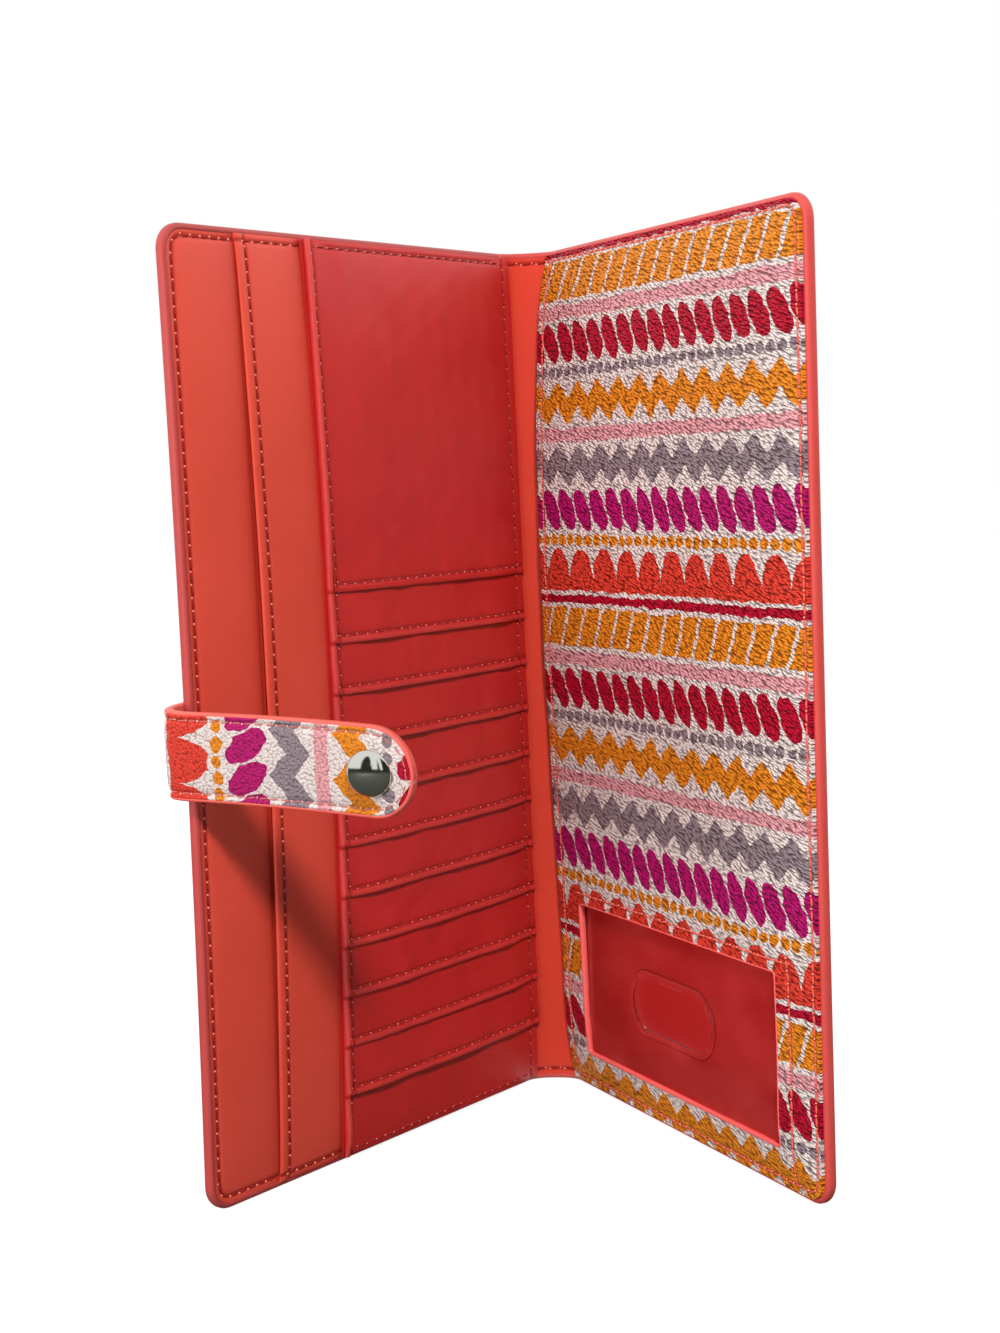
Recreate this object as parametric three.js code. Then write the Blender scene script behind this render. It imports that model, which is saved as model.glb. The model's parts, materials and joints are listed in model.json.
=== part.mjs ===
// Travel document wallet: two stiffened covers joined by a soft spine, standing half open on its edges.
// Millimetres and degrees, +Z up. The wallet opens towards -Y, and the origin is the foot of the spine,
// midway between its two fold lines.
import * as THREE from "three";

// Covers and spine
const COVER_HEIGHT = 250;
const BACK_WIDTH = 138;
const FRONT_WIDTH = 134;
const SPINE_WIDTH = 13;
const OPENING_ANGLE = 64;
const CORNER_RADIUS = 7;
const LEAST_CORNER = 0.3;
const EDGE_WIDTH = 2;
const EDGE_ROUND = 0.7;
const EDGE_RISE = 0.75;

// Sheets, and the gap that parts one sheet from the next
const SKIN_THICK = 0.7;
const BOARD_THICK = 0.9;
const LINING_THICK = 0.6;
const TICKET_PANEL_THICK = 0.8;
const FABRIC_THICK = 0.3;
const WINDOW_THICK = 0.3;
const POCKET_PANEL_THICK = 1.8;
const LAYER_GAP = 0.3;

// Room at the fold lines
const COVER_START = 0.6;
const SPINE_INSET = 1;
const SPINE_BINDING_INSET = 1.9;
const PANEL_START = 1.5;

// Ticket pocket and card slots on the back cover, measured from the fold line and from the foot
const TICKET_PANEL_WIDTH = 112;
const CARD_SLOT_WIDTH = 86;
const CARD_HEM_WIDTH = 2.7;
const SLOT_STRIP_COUNT = 10;
const SLOT_PITCH = 13.74;
const LAST_SLOT_HEIGHT = 18.2;
const SLOT_STRIP_HEIGHT = 26;

// Identity window in the front cover's pocket panel
const WINDOW_LEFT = 14.8;
const WINDOW_FOOT = 12.2;
const WINDOW_WIDTH = 101.4;
const WINDOW_HEIGHT = 45;
const WINDOW_CORNER = 1.5;
const WINDOW_LAP = 4;
const BACKING_LAP = 8;
const THUMB_HOLE_WIDTH = 41.4;
const THUMB_HOLE_HEIGHT = 15;
const THUMB_HOLE_SHIFT = -1.7;

// Closing strap
const STRAP_WIDTH = 23;
const STRAP_BELOW_MIDDLE = 6;
const STRAP_FREE_LENGTH = 68;
const STRAP_SKIN_THICK = 0.9;
const STRAP_LINING_THICK = 0.8;
const STRAP_ANCHOR_LENGTH = 45;
const STRAP_BEND_ANGLE = 100;
const STRAP_BEND_RADIUS = 5;
const FLAP_OUT_ANGLE = 40;
const FOLD_CLEARANCE = 0.2;

// Snap fastener
const CAP_RADIUS = 5.6;
const CAP_RIM = 0.7;
const CAP_HEIGHT = 3.2;
const SHANK_RADIUS = 1.5;
const SHANK_CLEARANCE = 0.3;
const SOCKET_FLANGE_RADIUS = 5.4;
const SOCKET_FLANGE_THICK = 0.8;
const SOCKET_RADIUS = 4.7;
const SOCKET_HEIGHT = 2.8;
const STUD_FLANGE_RADIUS = 5.5;
const STUD_FLANGE_THICK = 0.5;
const STUD_NECK_RADIUS = 2.7;
const STUD_HEAD_RADIUS = 3.2;
const STUD_HEIGHT = 1.7;
const STUD_CLEARANCE = 0.4;
const POST_RADIUS = 4.5;

const radians = THREE.MathUtils.degToRad;
const CURVE_POINTS = 6;
const ROUND_POINTS = 2;
const TURNED_SIDES = 24;
const SAME_PLACE = 1e-6;

// Depths of the sheets of a cover, from its fold plane, positive towards the inside of the wallet
const onTop = ([, top], thick) => [top + LAYER_GAP, top + LAYER_GAP + thick];
const beneath = ([bottom], thick) => [bottom - LAYER_GAP - thick, bottom - LAYER_GAP];
const LINING = [LAYER_GAP / 2, LAYER_GAP / 2 + LINING_THICK];
const BOARD = beneath(LINING, BOARD_THICK);
const SKIN = beneath(BOARD, SKIN_THICK);
const EDGE = [SKIN[0], LINING[1] + EDGE_RISE];
const EDGE_FILLET = Math.min(EDGE_ROUND, (EDGE_WIDTH - LAYER_GAP) / 2);
const TICKET_PANEL = onTop(LINING, TICKET_PANEL_THICK);
const CARD_BACKING = onTop(TICKET_PANEL, FABRIC_THICK);
const WINDOW_BACKING = onTop(LINING, FABRIC_THICK);
const WINDOW = onTop(WINDOW_BACKING, WINDOW_THICK);
const POCKET_PANEL = onTop(WINDOW, POCKET_PANEL_THICK);

const COLOURS = {
  print: { color: 0xe8d5cf, roughness: 0.55, metalness: 0 },
  coral: { color: 0xe0604a, roughness: 0.45, metalness: 0 },
  edge: { color: 0xe86058, roughness: 0.4, metalness: 0 },
  fabric: { color: 0xb83432, roughness: 0.6, metalness: 0 },
  board: { color: 0x9a8f82, roughness: 0.9, metalness: 0 },
  padding: { color: 0xe6e2da, roughness: 0.95, metalness: 0 },
  vinyl: { color: 0xd8d2d0, roughness: 0.1, metalness: 0, transparent: true, opacity: 0.3 },
  nickel: { color: 0xb9bcc0, roughness: 0.25, metalness: 1 },
};

const wallet = new THREE.Group();

function add(group, name, geometry, colour) {
  const mesh = new THREE.Mesh(geometry, new THREE.MeshStandardMaterial(COLOURS[colour]));
  mesh.name = name;
  group.add(mesh);
}

// A flat sheet: its outline lies in the plane of a cover (x from the fold line, y up), and depths gives
// its two faces. inner is +1 where the inside of the wallet is the local +Y side, and -1 where it is -Y.
function sheet(outline, depths, inner) {
  const faces = depths.map((depth) => depth * inner);
  const geometry = new THREE.ExtrudeGeometry(outline, {
    depth: depths[1] - depths[0],
    bevelEnabled: false,
    curveSegments: CURVE_POINTS,
  });
  geometry.rotateX(Math.PI / 2);
  return geometry.translate(0, Math.max(...faces), 0);
}

// A turned edge: the same with all its own edges rounded.
function turnedEdge(outline, inner) {
  const faces = EDGE.map((depth) => depth * inner);
  const geometry = new THREE.ExtrudeGeometry(outline, {
    depth: EDGE[1] - EDGE[0] - 2 * EDGE_FILLET,
    bevelThickness: EDGE_FILLET,
    bevelSize: EDGE_FILLET,
    bevelOffset: -EDGE_FILLET,
    bevelSegments: ROUND_POINTS,
    curveSegments: CURVE_POINTS,
  });
  geometry.rotateX(Math.PI / 2);
  return geometry.translate(0, Math.max(...faces) - EDGE_FILLET, 0);
}

function rectangle(left, right, foot, head) {
  return new THREE.Shape([
    new THREE.Vector2(left, foot),
    new THREE.Vector2(right, foot),
    new THREE.Vector2(right, head),
    new THREE.Vector2(left, head),
  ]);
}

// A round-cornered hole in a sheet; a radius of half its height gives it round ends.
function slottedHole(shape, middle, width, height, radius) {
  const reachX = width / 2 - radius;
  const reachY = height / 2 - radius;
  const hole = new THREE.Path();
  [[1, 1], [-1, 1], [-1, -1], [1, -1]].forEach(([sideX, sideY], quarter) => {
    const start = (quarter * Math.PI) / 2;
    const x = middle.x + sideX * reachX;
    const y = middle.y + sideY * reachY;
    hole.absarc(x, y, radius, start, start + Math.PI / 2, false);
  });
  shape.holes.push(hole);
}

function roundHole(shape, x, y, radius) {
  const hole = new THREE.Path();
  hole.absarc(x, y, radius, 0, 2 * Math.PI, true);
  shape.holes.push(hole);
}

// A cover's outline, square along the fold and round at its two free corners, drawn in by inset.
function coverOutline(width, inset) {
  const radius = Math.max(CORNER_RADIUS - inset, LEAST_CORNER);
  const right = width - inset;
  const head = COVER_HEIGHT - inset;
  const outline = new THREE.Shape();
  outline.moveTo(COVER_START, inset);
  outline.lineTo(right - radius, inset);
  outline.absarc(right - radius, inset + radius, radius, -Math.PI / 2, 0, false);
  outline.absarc(right - radius, head - radius, radius, 0, Math.PI / 2, false);
  outline.lineTo(COVER_START, head);
  return outline;
}

// The turned edge round a cover's three free sides.
function edgeOutline(width) {
  const outside = coverOutline(width, 0).getPoints(CURVE_POINTS);
  const inside = coverOutline(width, EDGE_WIDTH).getPoints(CURVE_POINTS);
  return new THREE.Shape([...outside, ...inside.reverse()]);
}

const SHEET_INSET = EDGE_WIDTH + LAYER_GAP;
const SHEET_HEAD = COVER_HEIGHT - SHEET_INSET;

// The layers that both covers have: printed skin outside, board, lining, and the turned edge.
function coverLayers(group, side, width, inner, snapHole) {
  const skin = coverOutline(width, SHEET_INSET);
  const board = coverOutline(width, SHEET_INSET);
  if (snapHole) {
    roundHole(skin, snapHole.x, snapHole.z, SHANK_RADIUS + SHANK_CLEARANCE);
    roundHole(board, snapHole.x, snapHole.z, POST_RADIUS + SHANK_CLEARANCE);
  }
  add(group, `${side}_outer_skin`, sheet(skin, SKIN, inner), "print");
  add(group, `${side}_board`, sheet(board, BOARD, inner), "board");
  add(group, `${side}_lining`, sheet(coverOutline(width, SHEET_INSET), LINING, inner), "coral");
  add(group, `${side}_edge_binding`, turnedEdge(edgeOutline(width), inner), "edge");
}

// Back cover: local X runs from its fold line to its free edge, and local +Y is the inside.
const half = radians(OPENING_ANGLE / 2);
const back = new THREE.Group();
back.position.set(-SPINE_WIDTH / 2, 0, 0);
back.rotation.z = -Math.PI / 2 - half;
wallet.add(back);
coverLayers(back, "back", BACK_WIDTH, 1);

// Ticket pocket: one sheet sewn in at the head, foot and fold, open along its free edge
const ticketPanel = rectangle(PANEL_START, TICKET_PANEL_WIDTH, SHEET_INSET, SHEET_HEAD);
add(back, "ticket_pocket_panel", sheet(ticketPanel, TICKET_PANEL, 1), "coral");

// Card panel: a backing, a tall front pocket and lapped strips. Each strip's lower edge is the mouth of
// a slot and stands in front of the strip below it, so the strips lean like tiles.
const slotRight = PANEL_START + CARD_SLOT_WIDTH;
const cardPanelWidth = slotRight + LAYER_GAP + CARD_HEM_WIDTH;
const cardBacking = rectangle(PANEL_START, cardPanelWidth, SHEET_INSET, SHEET_HEAD);
add(back, "card_panel_backing", sheet(cardBacking, CARD_BACKING, 1), "fabric");

const slotSlope = (FABRIC_THICK + LAYER_GAP) / SLOT_PITCH;
const stripBack = CARD_BACKING[1] + LAYER_GAP;
const mouthDepth = stripBack + slotSlope * SLOT_STRIP_HEIGHT;
const firstMouth = LAST_SLOT_HEIGHT + SLOT_STRIP_COUNT * SLOT_PITCH;

// A strip from its mouth up to its hidden head, as a leaning plate that runs along local X.
function slotStrip(mouth, head) {
  const profile = new THREE.Shape([
    new THREE.Vector2(mouthDepth, mouth),
    new THREE.Vector2(mouthDepth + FABRIC_THICK, mouth),
    new THREE.Vector2(stripBack + FABRIC_THICK, head),
    new THREE.Vector2(stripBack, head),
  ]);
  const geometry = new THREE.ExtrudeGeometry(profile, { depth: CARD_SLOT_WIDTH, bevelEnabled: false });
  const toCover = new THREE.Matrix4().makeBasis(
    new THREE.Vector3(0, 1, 0),
    new THREE.Vector3(0, 0, 1),
    new THREE.Vector3(1, 0, 0),
  );
  return geometry.applyMatrix4(toCover).translate(PANEL_START, 0, 0);
}

add(back, "front_card_pocket", slotStrip(firstMouth, SHEET_HEAD), "fabric");
for (let i = 1; i <= SLOT_STRIP_COUNT; i++) {
  const mouth = firstMouth - i * SLOT_PITCH;
  const name = `card_slot_${String(i).padStart(2, "0")}`;
  add(back, name, slotStrip(mouth, mouth + SLOT_STRIP_HEIGHT), "fabric");
}

const hemOutline = rectangle(slotRight + LAYER_GAP, cardPanelWidth, SHEET_INSET, SHEET_HEAD);
const hemDepths = [stripBack, mouthDepth + FABRIC_THICK];
add(back, "card_panel_hem", sheet(hemOutline, hemDepths, 1), "fabric");

// Strap: sewn flat on the back cover's outer face, bent round its edge, then straight. A place on it is
// its length past the start of the bend and its offset from the middle surface, positive to the lining.
const strapThick = STRAP_SKIN_THICK + LAYER_GAP + STRAP_LINING_THICK;
const STRAP_SKIN = [-strapThick / 2, -strapThick / 2 + STRAP_SKIN_THICK];
const STRAP_LINING = [strapThick / 2 - STRAP_LINING_THICK, strapThick / 2];
const strapMiddle = COVER_HEIGHT / 2 - STRAP_BELOW_MIDDLE;
const anchorDepth = SKIN[0] - LAYER_GAP - strapThick / 2;
const bendAngle = radians(STRAP_BEND_ANGLE);
const bendLength = STRAP_BEND_RADIUS * bendAngle;
const bendCentre = new THREE.Vector2(BACK_WIDTH, anchorDepth + STRAP_BEND_RADIUS);

function strapPoint(length, offset) {
  const turn = THREE.MathUtils.clamp(length, 0, bendLength) / STRAP_BEND_RADIUS;
  const along = new THREE.Vector2(Math.cos(turn), Math.sin(turn));
  const across = new THREE.Vector2(-Math.sin(turn), Math.cos(turn));
  const straight = length - turn * STRAP_BEND_RADIUS;
  return bendCentre
    .clone()
    .addScaledVector(across, offset - STRAP_BEND_RADIUS)
    .addScaledVector(along, straight);
}

// A stretch of one strap layer, with square or mitred ends; ends gives the two ends at a given offset.
function strapStretch(layer, ends) {
  const edgePoints = (offset) => {
    const [from, to] = ends(offset);
    const bendFrom = Math.max(from, 0);
    const bendTo = Math.min(to, bendLength);
    const lengths = [from];
    for (let i = 0; i <= CURVE_POINTS; i++) {
      lengths.push(bendFrom + ((bendTo - bendFrom) * i) / CURVE_POINTS);
    }
    lengths.push(to);
    const distinct = lengths.filter((length, i) => i === 0 || length - lengths[i - 1] > SAME_PLACE);
    return distinct.map((length) => strapPoint(length, offset));
  };
  const profile = new THREE.Shape([...edgePoints(layer[0]), ...edgePoints(layer[1]).reverse()]);
  const geometry = new THREE.ExtrudeGeometry(profile, { depth: STRAP_WIDTH, bevelEnabled: false });
  return geometry.translate(0, 0, strapMiddle - STRAP_WIDTH / 2);
}

// The tongue lies flat on the closed front cover, so the fold in the strap is as far out as the closed
// wallet and the fastened snap are thick.
const socketStand = LAYER_GAP + SOCKET_HEIGHT;
const studStand = LAYER_GAP + STUD_FLANGE_THICK;
const fastenedGap = studStand + LAYER_GAP + socketStand;
const foldDepth = SPINE_WIDTH - SKIN[0] + fastenedGap + strapThick / 2;
const gussetStart = strapPoint(bendLength, 0);
const gussetLength = (foldDepth - gussetStart.y) / Math.sin(bendAngle);
const foldPlace = bendLength + gussetLength;
const foldIn = radians(180 - STRAP_BEND_ANGLE);
const foldOut = radians(FLAP_OUT_ANGLE);
const mitre = (offset) => {
  const turn = offset > 0 ? foldIn : foldOut;
  return FOLD_CLEARANCE + Math.abs(offset) * Math.tan(turn / 2);
};

const rootPlace = bendLength / 2;
const anchorEnds = () => [-STRAP_ANCHOR_LENGTH, rootPlace - LAYER_GAP / 2];
const gussetEnds = (offset) => [rootPlace + LAYER_GAP / 2, foldPlace - mitre(offset)];
add(back, "strap_anchor_outer", strapStretch(STRAP_SKIN, anchorEnds), "print");
add(back, "strap_anchor_lining", strapStretch(STRAP_LINING, anchorEnds), "coral");
add(back, "strap_gusset_outer", strapStretch(STRAP_SKIN, gussetEnds), "print");
add(back, "strap_gusset_lining", strapStretch(STRAP_LINING, gussetEnds), "coral");

// Tongue: local X runs along the strap from the fold to its round tip, and local +Y is its lining side.
const tongue = new THREE.Group();
const fold = strapPoint(foldPlace, 0);
tongue.position.set(fold.x, fold.y, strapMiddle);
tongue.rotation.z = bendAngle;
back.add(tongue);
const tongueLength = STRAP_FREE_LENGTH - gussetLength;
const snapReach = tongueLength - STRAP_WIDTH / 2;

function tongueLayer(layer, farOffset) {
  const start = mitre(farOffset);
  const radius = STRAP_WIDTH / 2;
  const outline = new THREE.Shape();
  outline.moveTo(start, -radius);
  outline.lineTo(snapReach, -radius);
  outline.absarc(snapReach, 0, radius, -Math.PI / 2, Math.PI / 2, false);
  outline.lineTo(start, radius);
  roundHole(outline, snapReach, 0, SHANK_RADIUS + SHANK_CLEARANCE);
  return sheet(outline, layer, 1);
}

add(tongue, "strap_tongue_outer", tongueLayer(STRAP_SKIN, STRAP_SKIN[0]), "print");
add(tongue, "strap_tongue_lining", tongueLayer(STRAP_LINING, STRAP_LINING[1]), "coral");

// A turned part whose axis is local Y, from a closed outline of [radius, height] points.
function turned(points) {
  const outline = points.map(([radius, height]) => new THREE.Vector2(radius, height));
  return new THREE.LatheGeometry(outline, TURNED_SIDES);
}

// Snap cap on the strap's outer side, with its shank through the strap into the socket
const shankTip = STRAP_LINING[1] + LAYER_GAP + SOCKET_FLANGE_THICK;
const capSeat = STRAP_SKIN[0] - LAYER_GAP;
const capTop = capSeat - CAP_HEIGHT;
const domeRise = CAP_HEIGHT - CAP_RIM;
const domeRadius = (CAP_RADIUS * CAP_RADIUS + domeRise * domeRise) / (2 * domeRise);
const domePoints = [];
for (let i = 0; i <= CURVE_POINTS; i++) {
  const radius = (CAP_RADIUS * i) / CURVE_POINTS;
  const height = capTop + domeRadius - Math.sqrt(domeRadius * domeRadius - radius * radius);
  domePoints.push([radius, height]);
}
const capOutline = [
  ...domePoints,
  [CAP_RADIUS, capSeat],
  [SHANK_RADIUS, capSeat],
  [SHANK_RADIUS, shankTip],
  [0, shankTip],
];
add(tongue, "snap_cap", turned(capOutline).translate(snapReach, 0, 0), "nickel");

// Snap socket on the lining side: a flange and a ring that the stud goes into
const socketSeat = STRAP_LINING[1] + LAYER_GAP;
const socketBore = STUD_HEAD_RADIUS + STUD_CLEARANCE;
const socketOutline = [
  [SHANK_RADIUS + SHANK_CLEARANCE, socketSeat],
  [SOCKET_FLANGE_RADIUS, socketSeat],
  [SOCKET_FLANGE_RADIUS, socketSeat + SOCKET_FLANGE_THICK],
  [SOCKET_RADIUS, socketSeat + SOCKET_FLANGE_THICK],
  [SOCKET_RADIUS, socketSeat + SOCKET_HEIGHT],
  [socketBore, socketSeat + SOCKET_HEIGHT],
  [socketBore, socketSeat + SOCKET_FLANGE_THICK],
  [SHANK_RADIUS + SHANK_CLEARANCE, socketSeat + SOCKET_FLANGE_THICK],
  [SHANK_RADIUS + SHANK_CLEARANCE, socketSeat],
];
add(tongue, "snap_socket", turned(socketOutline).translate(snapReach, 0, 0), "nickel");

// Spine: local -Y is the inside.
const spineReach = SPINE_WIDTH / 2 - SPINE_INSET;
const spineSheet = rectangle(-spineReach, spineReach, SHEET_INSET, SHEET_HEAD);
add(wallet, "spine_outer_skin", sheet(spineSheet, SKIN, -1), "print");
add(wallet, "spine_interlining", sheet(spineSheet, BOARD, -1), "padding");
add(wallet, "spine_lining", sheet(spineSheet, LINING, -1), "coral");
const bindingReach = SPINE_WIDTH / 2 - SPINE_BINDING_INSET;
const spineFoot = rectangle(-bindingReach, bindingReach, 0, EDGE_WIDTH);
const spineHead = rectangle(-bindingReach, bindingReach, COVER_HEIGHT - EDGE_WIDTH, COVER_HEIGHT);
add(wallet, "spine_binding_foot", turnedEdge(spineFoot, -1), "edge");
add(wallet, "spine_binding_head", turnedEdge(spineHead, -1), "edge");

// Front cover: local X runs from its fold line to its free edge, and local -Y is the inside.
const front = new THREE.Group();
front.position.set(SPINE_WIDTH / 2, 0, 0);
front.rotation.z = -Math.PI / 2 + half;
wallet.add(front);
const studPlace = { x: fold.x - snapReach, z: strapMiddle };
coverLayers(front, "front", FRONT_WIDTH, -1, studPlace);

// Printed pocket panel, free along the fold, with the identity window in its foot
const windowRight = WINDOW_LEFT + WINDOW_WIDTH;
const windowHead = WINDOW_FOOT + WINDOW_HEIGHT;
const pocketPanel = rectangle(PANEL_START, FRONT_WIDTH - SHEET_INSET, SHEET_INSET, SHEET_HEAD);
const windowMiddle = {
  x: WINDOW_LEFT + WINDOW_WIDTH / 2,
  y: WINDOW_FOOT + WINDOW_HEIGHT / 2,
};
slottedHole(pocketPanel, windowMiddle, WINDOW_WIDTH, WINDOW_HEIGHT, WINDOW_CORNER);
add(front, "front_pocket_panel", sheet(pocketPanel, POCKET_PANEL, -1), "print");

const lapped = (lap) =>
  rectangle(WINDOW_LEFT - lap, windowRight + lap, WINDOW_FOOT - lap, windowHead + lap);
const windowSheet = lapped(WINDOW_LAP);
const thumbMiddle = { x: windowMiddle.x + THUMB_HOLE_SHIFT, y: windowMiddle.y };
slottedHole(windowSheet, thumbMiddle, THUMB_HOLE_WIDTH, THUMB_HOLE_HEIGHT, THUMB_HOLE_HEIGHT / 2);
add(front, "id_window", sheet(windowSheet, WINDOW, -1), "vinyl");
add(front, "id_window_backing", sheet(lapped(BACKING_LAP), WINDOW_BACKING, -1), "fabric");

// Snap stud on the outer face, held by a post from inside the cover
const studSeat = LAYER_GAP - SKIN[0];
const studBore = SHANK_RADIUS + SHANK_CLEARANCE;
const studTop = studSeat + STUD_FLANGE_THICK + STUD_HEIGHT;
const studOutline = [
  [studBore, studSeat],
  [STUD_FLANGE_RADIUS, studSeat],
  [STUD_FLANGE_RADIUS, studSeat + STUD_FLANGE_THICK],
  [STUD_NECK_RADIUS, studSeat + STUD_FLANGE_THICK],
  [STUD_HEAD_RADIUS, studSeat + STUD_FLANGE_THICK + STUD_HEIGHT / 2],
  [STUD_NECK_RADIUS, studTop],
  [studBore, studTop],
  [studBore, studSeat],
];
add(front, "snap_stud", turned(studOutline).translate(studPlace.x, 0, studPlace.z), "nickel");
const postOutline = [
  [0, -BOARD[1]],
  [POST_RADIUS, -BOARD[1]],
  [POST_RADIUS, -BOARD[0]],
  [SHANK_RADIUS, -BOARD[0]],
  [SHANK_RADIUS, studTop],
  [0, studTop],
];
add(front, "snap_post", turned(postOutline).translate(studPlace.x, 0, studPlace.z), "nickel");

export default wallet;
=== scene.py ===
import json
import math

import bmesh
import bpy
import numpy as np
from mathutils import Matrix, Vector


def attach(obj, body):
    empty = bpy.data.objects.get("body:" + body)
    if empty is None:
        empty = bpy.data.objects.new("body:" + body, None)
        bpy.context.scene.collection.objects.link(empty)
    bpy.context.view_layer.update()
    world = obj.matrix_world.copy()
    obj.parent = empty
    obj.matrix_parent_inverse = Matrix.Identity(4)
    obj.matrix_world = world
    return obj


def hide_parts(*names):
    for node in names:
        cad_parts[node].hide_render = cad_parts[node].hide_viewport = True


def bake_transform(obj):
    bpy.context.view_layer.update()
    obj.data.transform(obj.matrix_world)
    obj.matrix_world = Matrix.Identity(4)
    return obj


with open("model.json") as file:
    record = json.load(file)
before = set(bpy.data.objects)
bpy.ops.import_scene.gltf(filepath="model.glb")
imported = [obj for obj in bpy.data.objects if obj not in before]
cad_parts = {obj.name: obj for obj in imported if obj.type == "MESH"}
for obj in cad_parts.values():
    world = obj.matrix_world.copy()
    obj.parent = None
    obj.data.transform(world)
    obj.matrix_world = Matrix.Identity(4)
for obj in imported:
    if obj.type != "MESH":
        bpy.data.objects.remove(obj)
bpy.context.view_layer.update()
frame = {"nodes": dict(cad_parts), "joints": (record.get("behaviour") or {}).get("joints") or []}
nodes = frame["nodes"]

# Studio: a white floor and surround, a key lamp high in front, a fill lamp at the left and two lamps
# behind. The camera stands where the photograph was taken, fitted to the corners of the two covers.
MM = 0.001
PHOTO_HEIGHT = 1333
PHOTO_FOCAL = 2045
SENSOR_HEIGHT = 24
CAMERA_PLACE = (53.3, -612.1, 185.6)
CAMERA_YAW, CAMERA_PITCH, CAMERA_ROLL = (math.radians(angle) for angle in (6.13, 5.4, -2.18))

camera_data = bpy.data.cameras.new("camera")
camera_data.sensor_fit = "VERTICAL"
camera_data.sensor_height = SENSOR_HEIGHT
camera_data.lens = SENSOR_HEIGHT * PHOTO_FOCAL / PHOTO_HEIGHT
camera = bpy.data.objects.new("camera", camera_data)
camera.matrix_world = (
    Matrix.Translation(Vector(CAMERA_PLACE) * MM)
    @ Matrix.Rotation(CAMERA_YAW, 4, "Z")
    @ Matrix.Rotation(math.pi / 2 - CAMERA_PITCH, 4, "X")
    @ Matrix.Rotation(CAMERA_ROLL, 4, "Z")
)
scene = bpy.context.scene
scene.collection.objects.link(camera)
scene.camera = camera
scene.view_settings.view_transform = "Standard"


def soft_lamp(name, place, aim, size, watts):
    lamp = bpy.data.lights.new(name, "AREA")
    lamp.shape = "DISK"
    lamp.size = size
    lamp.energy = watts
    holder = bpy.data.objects.new(name, lamp)
    holder.location = place
    holder.rotation_euler = (Vector(aim) - Vector(place)).to_track_quat("-Z", "Y").to_euler()
    holder.visible_glossy = False
    scene.collection.objects.link(holder)


soft_lamp("key_lamp", (0.26, -0.95, 0.88), (0.0, -0.06, 0.16), 0.18, 14.8)
soft_lamp("fill_lamp", (-0.5, -0.7, 0.2), (0.03, -0.06, 0.12), 0.6, 7.4)
soft_lamp("left_back_lamp", (-0.6, 0.42, 0.42), (0.0, -0.05, 0.12), 0.9, 6)
soft_lamp("right_back_lamp", (0.6, 0.42, 0.42), (0.0, -0.05, 0.12), 0.9, 6)


def add_node(tree, kind, inputs, **settings):
    """A node with its settings, and each of its inputs linked to a socket or set to a value."""
    node = tree.nodes.new(kind)
    for name, value in settings.items():
        setattr(node, name, value)
    for slot, value in inputs.items():
        if isinstance(value, bpy.types.NodeSocket):
            tree.links.new(value, node.inputs[slot])
        else:
            node.inputs[slot].default_value = value
    return node


def started(name, roughness, colour=None):
    """A new material, with its node tree and its shader."""
    material = bpy.data.materials.new(name)
    material.use_nodes = True
    tree = material.node_tree
    shader = tree.nodes["Principled BSDF"]
    shader.inputs["Roughness"].default_value = roughness
    if colour:
        shader.inputs["Base Color"].default_value = colour
    return material, tree, shader


def seen_rays(tree):
    """1 where the background itself is looked at: straight on, mirrored or through something clear."""
    rays = tree.nodes.new("ShaderNodeLightPath").outputs
    seen = rays["Is Camera Ray"]
    for kind in ("Is Glossy Ray", "Is Transmission Ray"):
        seen = add_node(tree, "ShaderNodeMath", {0: seen, 1: rays[kind]}, operation="MAXIMUM").outputs[0]
    return seen


AMBIENT = 0.12
world = bpy.data.worlds.new("white_surround")
world.use_nodes = True
scene.world = world
surround = world.node_tree
ambient = surround.nodes["Background"]
ambient.inputs["Color"].default_value = (1, 0.985, 0.97, 1)
ambient.inputs["Strength"].default_value = AMBIENT
backdrop = add_node(surround, "ShaderNodeBackground", {"Color": (1, 1, 1, 1), "Strength": 1})
either = {0: seen_rays(surround), 1: ambient.outputs[0], 2: backdrop.outputs[0]}
choice = add_node(surround, "ShaderNodeMixShader", either)
surround.links.new(choice.outputs[0], surround.nodes["World Output"].inputs[0])

FLOOR_REACH = 4
GLOW_RANGE = {"From Min": 0.3, "From Max": 0.75, "To Min": 0.86, "To Max": 1}
floor_mesh = bpy.data.meshes.new("floor")
floor_corners = [(x, y, 0) for x, y in ((-1, -1), (1, -1), (1, 1), (-1, 1))]
floor_mesh.from_pydata(floor_corners, [], [(0, 1, 2, 3)])
floor_mesh.transform(Matrix.Scale(FLOOR_REACH, 4))
floor = bpy.data.objects.new("floor", floor_mesh)
scene.collection.objects.link(floor)
paper, tree, matt = started("white_floor", 1, (0.25, 0.25, 0.25, 1))
matt.inputs["Specular IOR Level"].default_value = 0
spot = tree.nodes.new("ShaderNodeTexCoord").outputs["Object"]
away = add_node(tree, "ShaderNodeVectorMath", {0: spot}, operation="LENGTH").outputs["Value"]
brighter = add_node(tree, "ShaderNodeMapRange", {"Value": away, **GLOW_RANGE}).outputs[0]
glow = add_node(tree, "ShaderNodeEmission", {"Strength": brighter}).outputs[0]
lit = add_node(tree, "ShaderNodeAddShader", {0: matt.outputs[0], 1: glow}).outputs[0]
pick = add_node(tree, "ShaderNodeMixShader", {0: seen_rays(tree), 1: matt.outputs[0], 2: lit})
tree.links.new(pick.outputs[0], tree.nodes["Material Output"].inputs[0])
floor_mesh.materials.append(paper)

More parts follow.
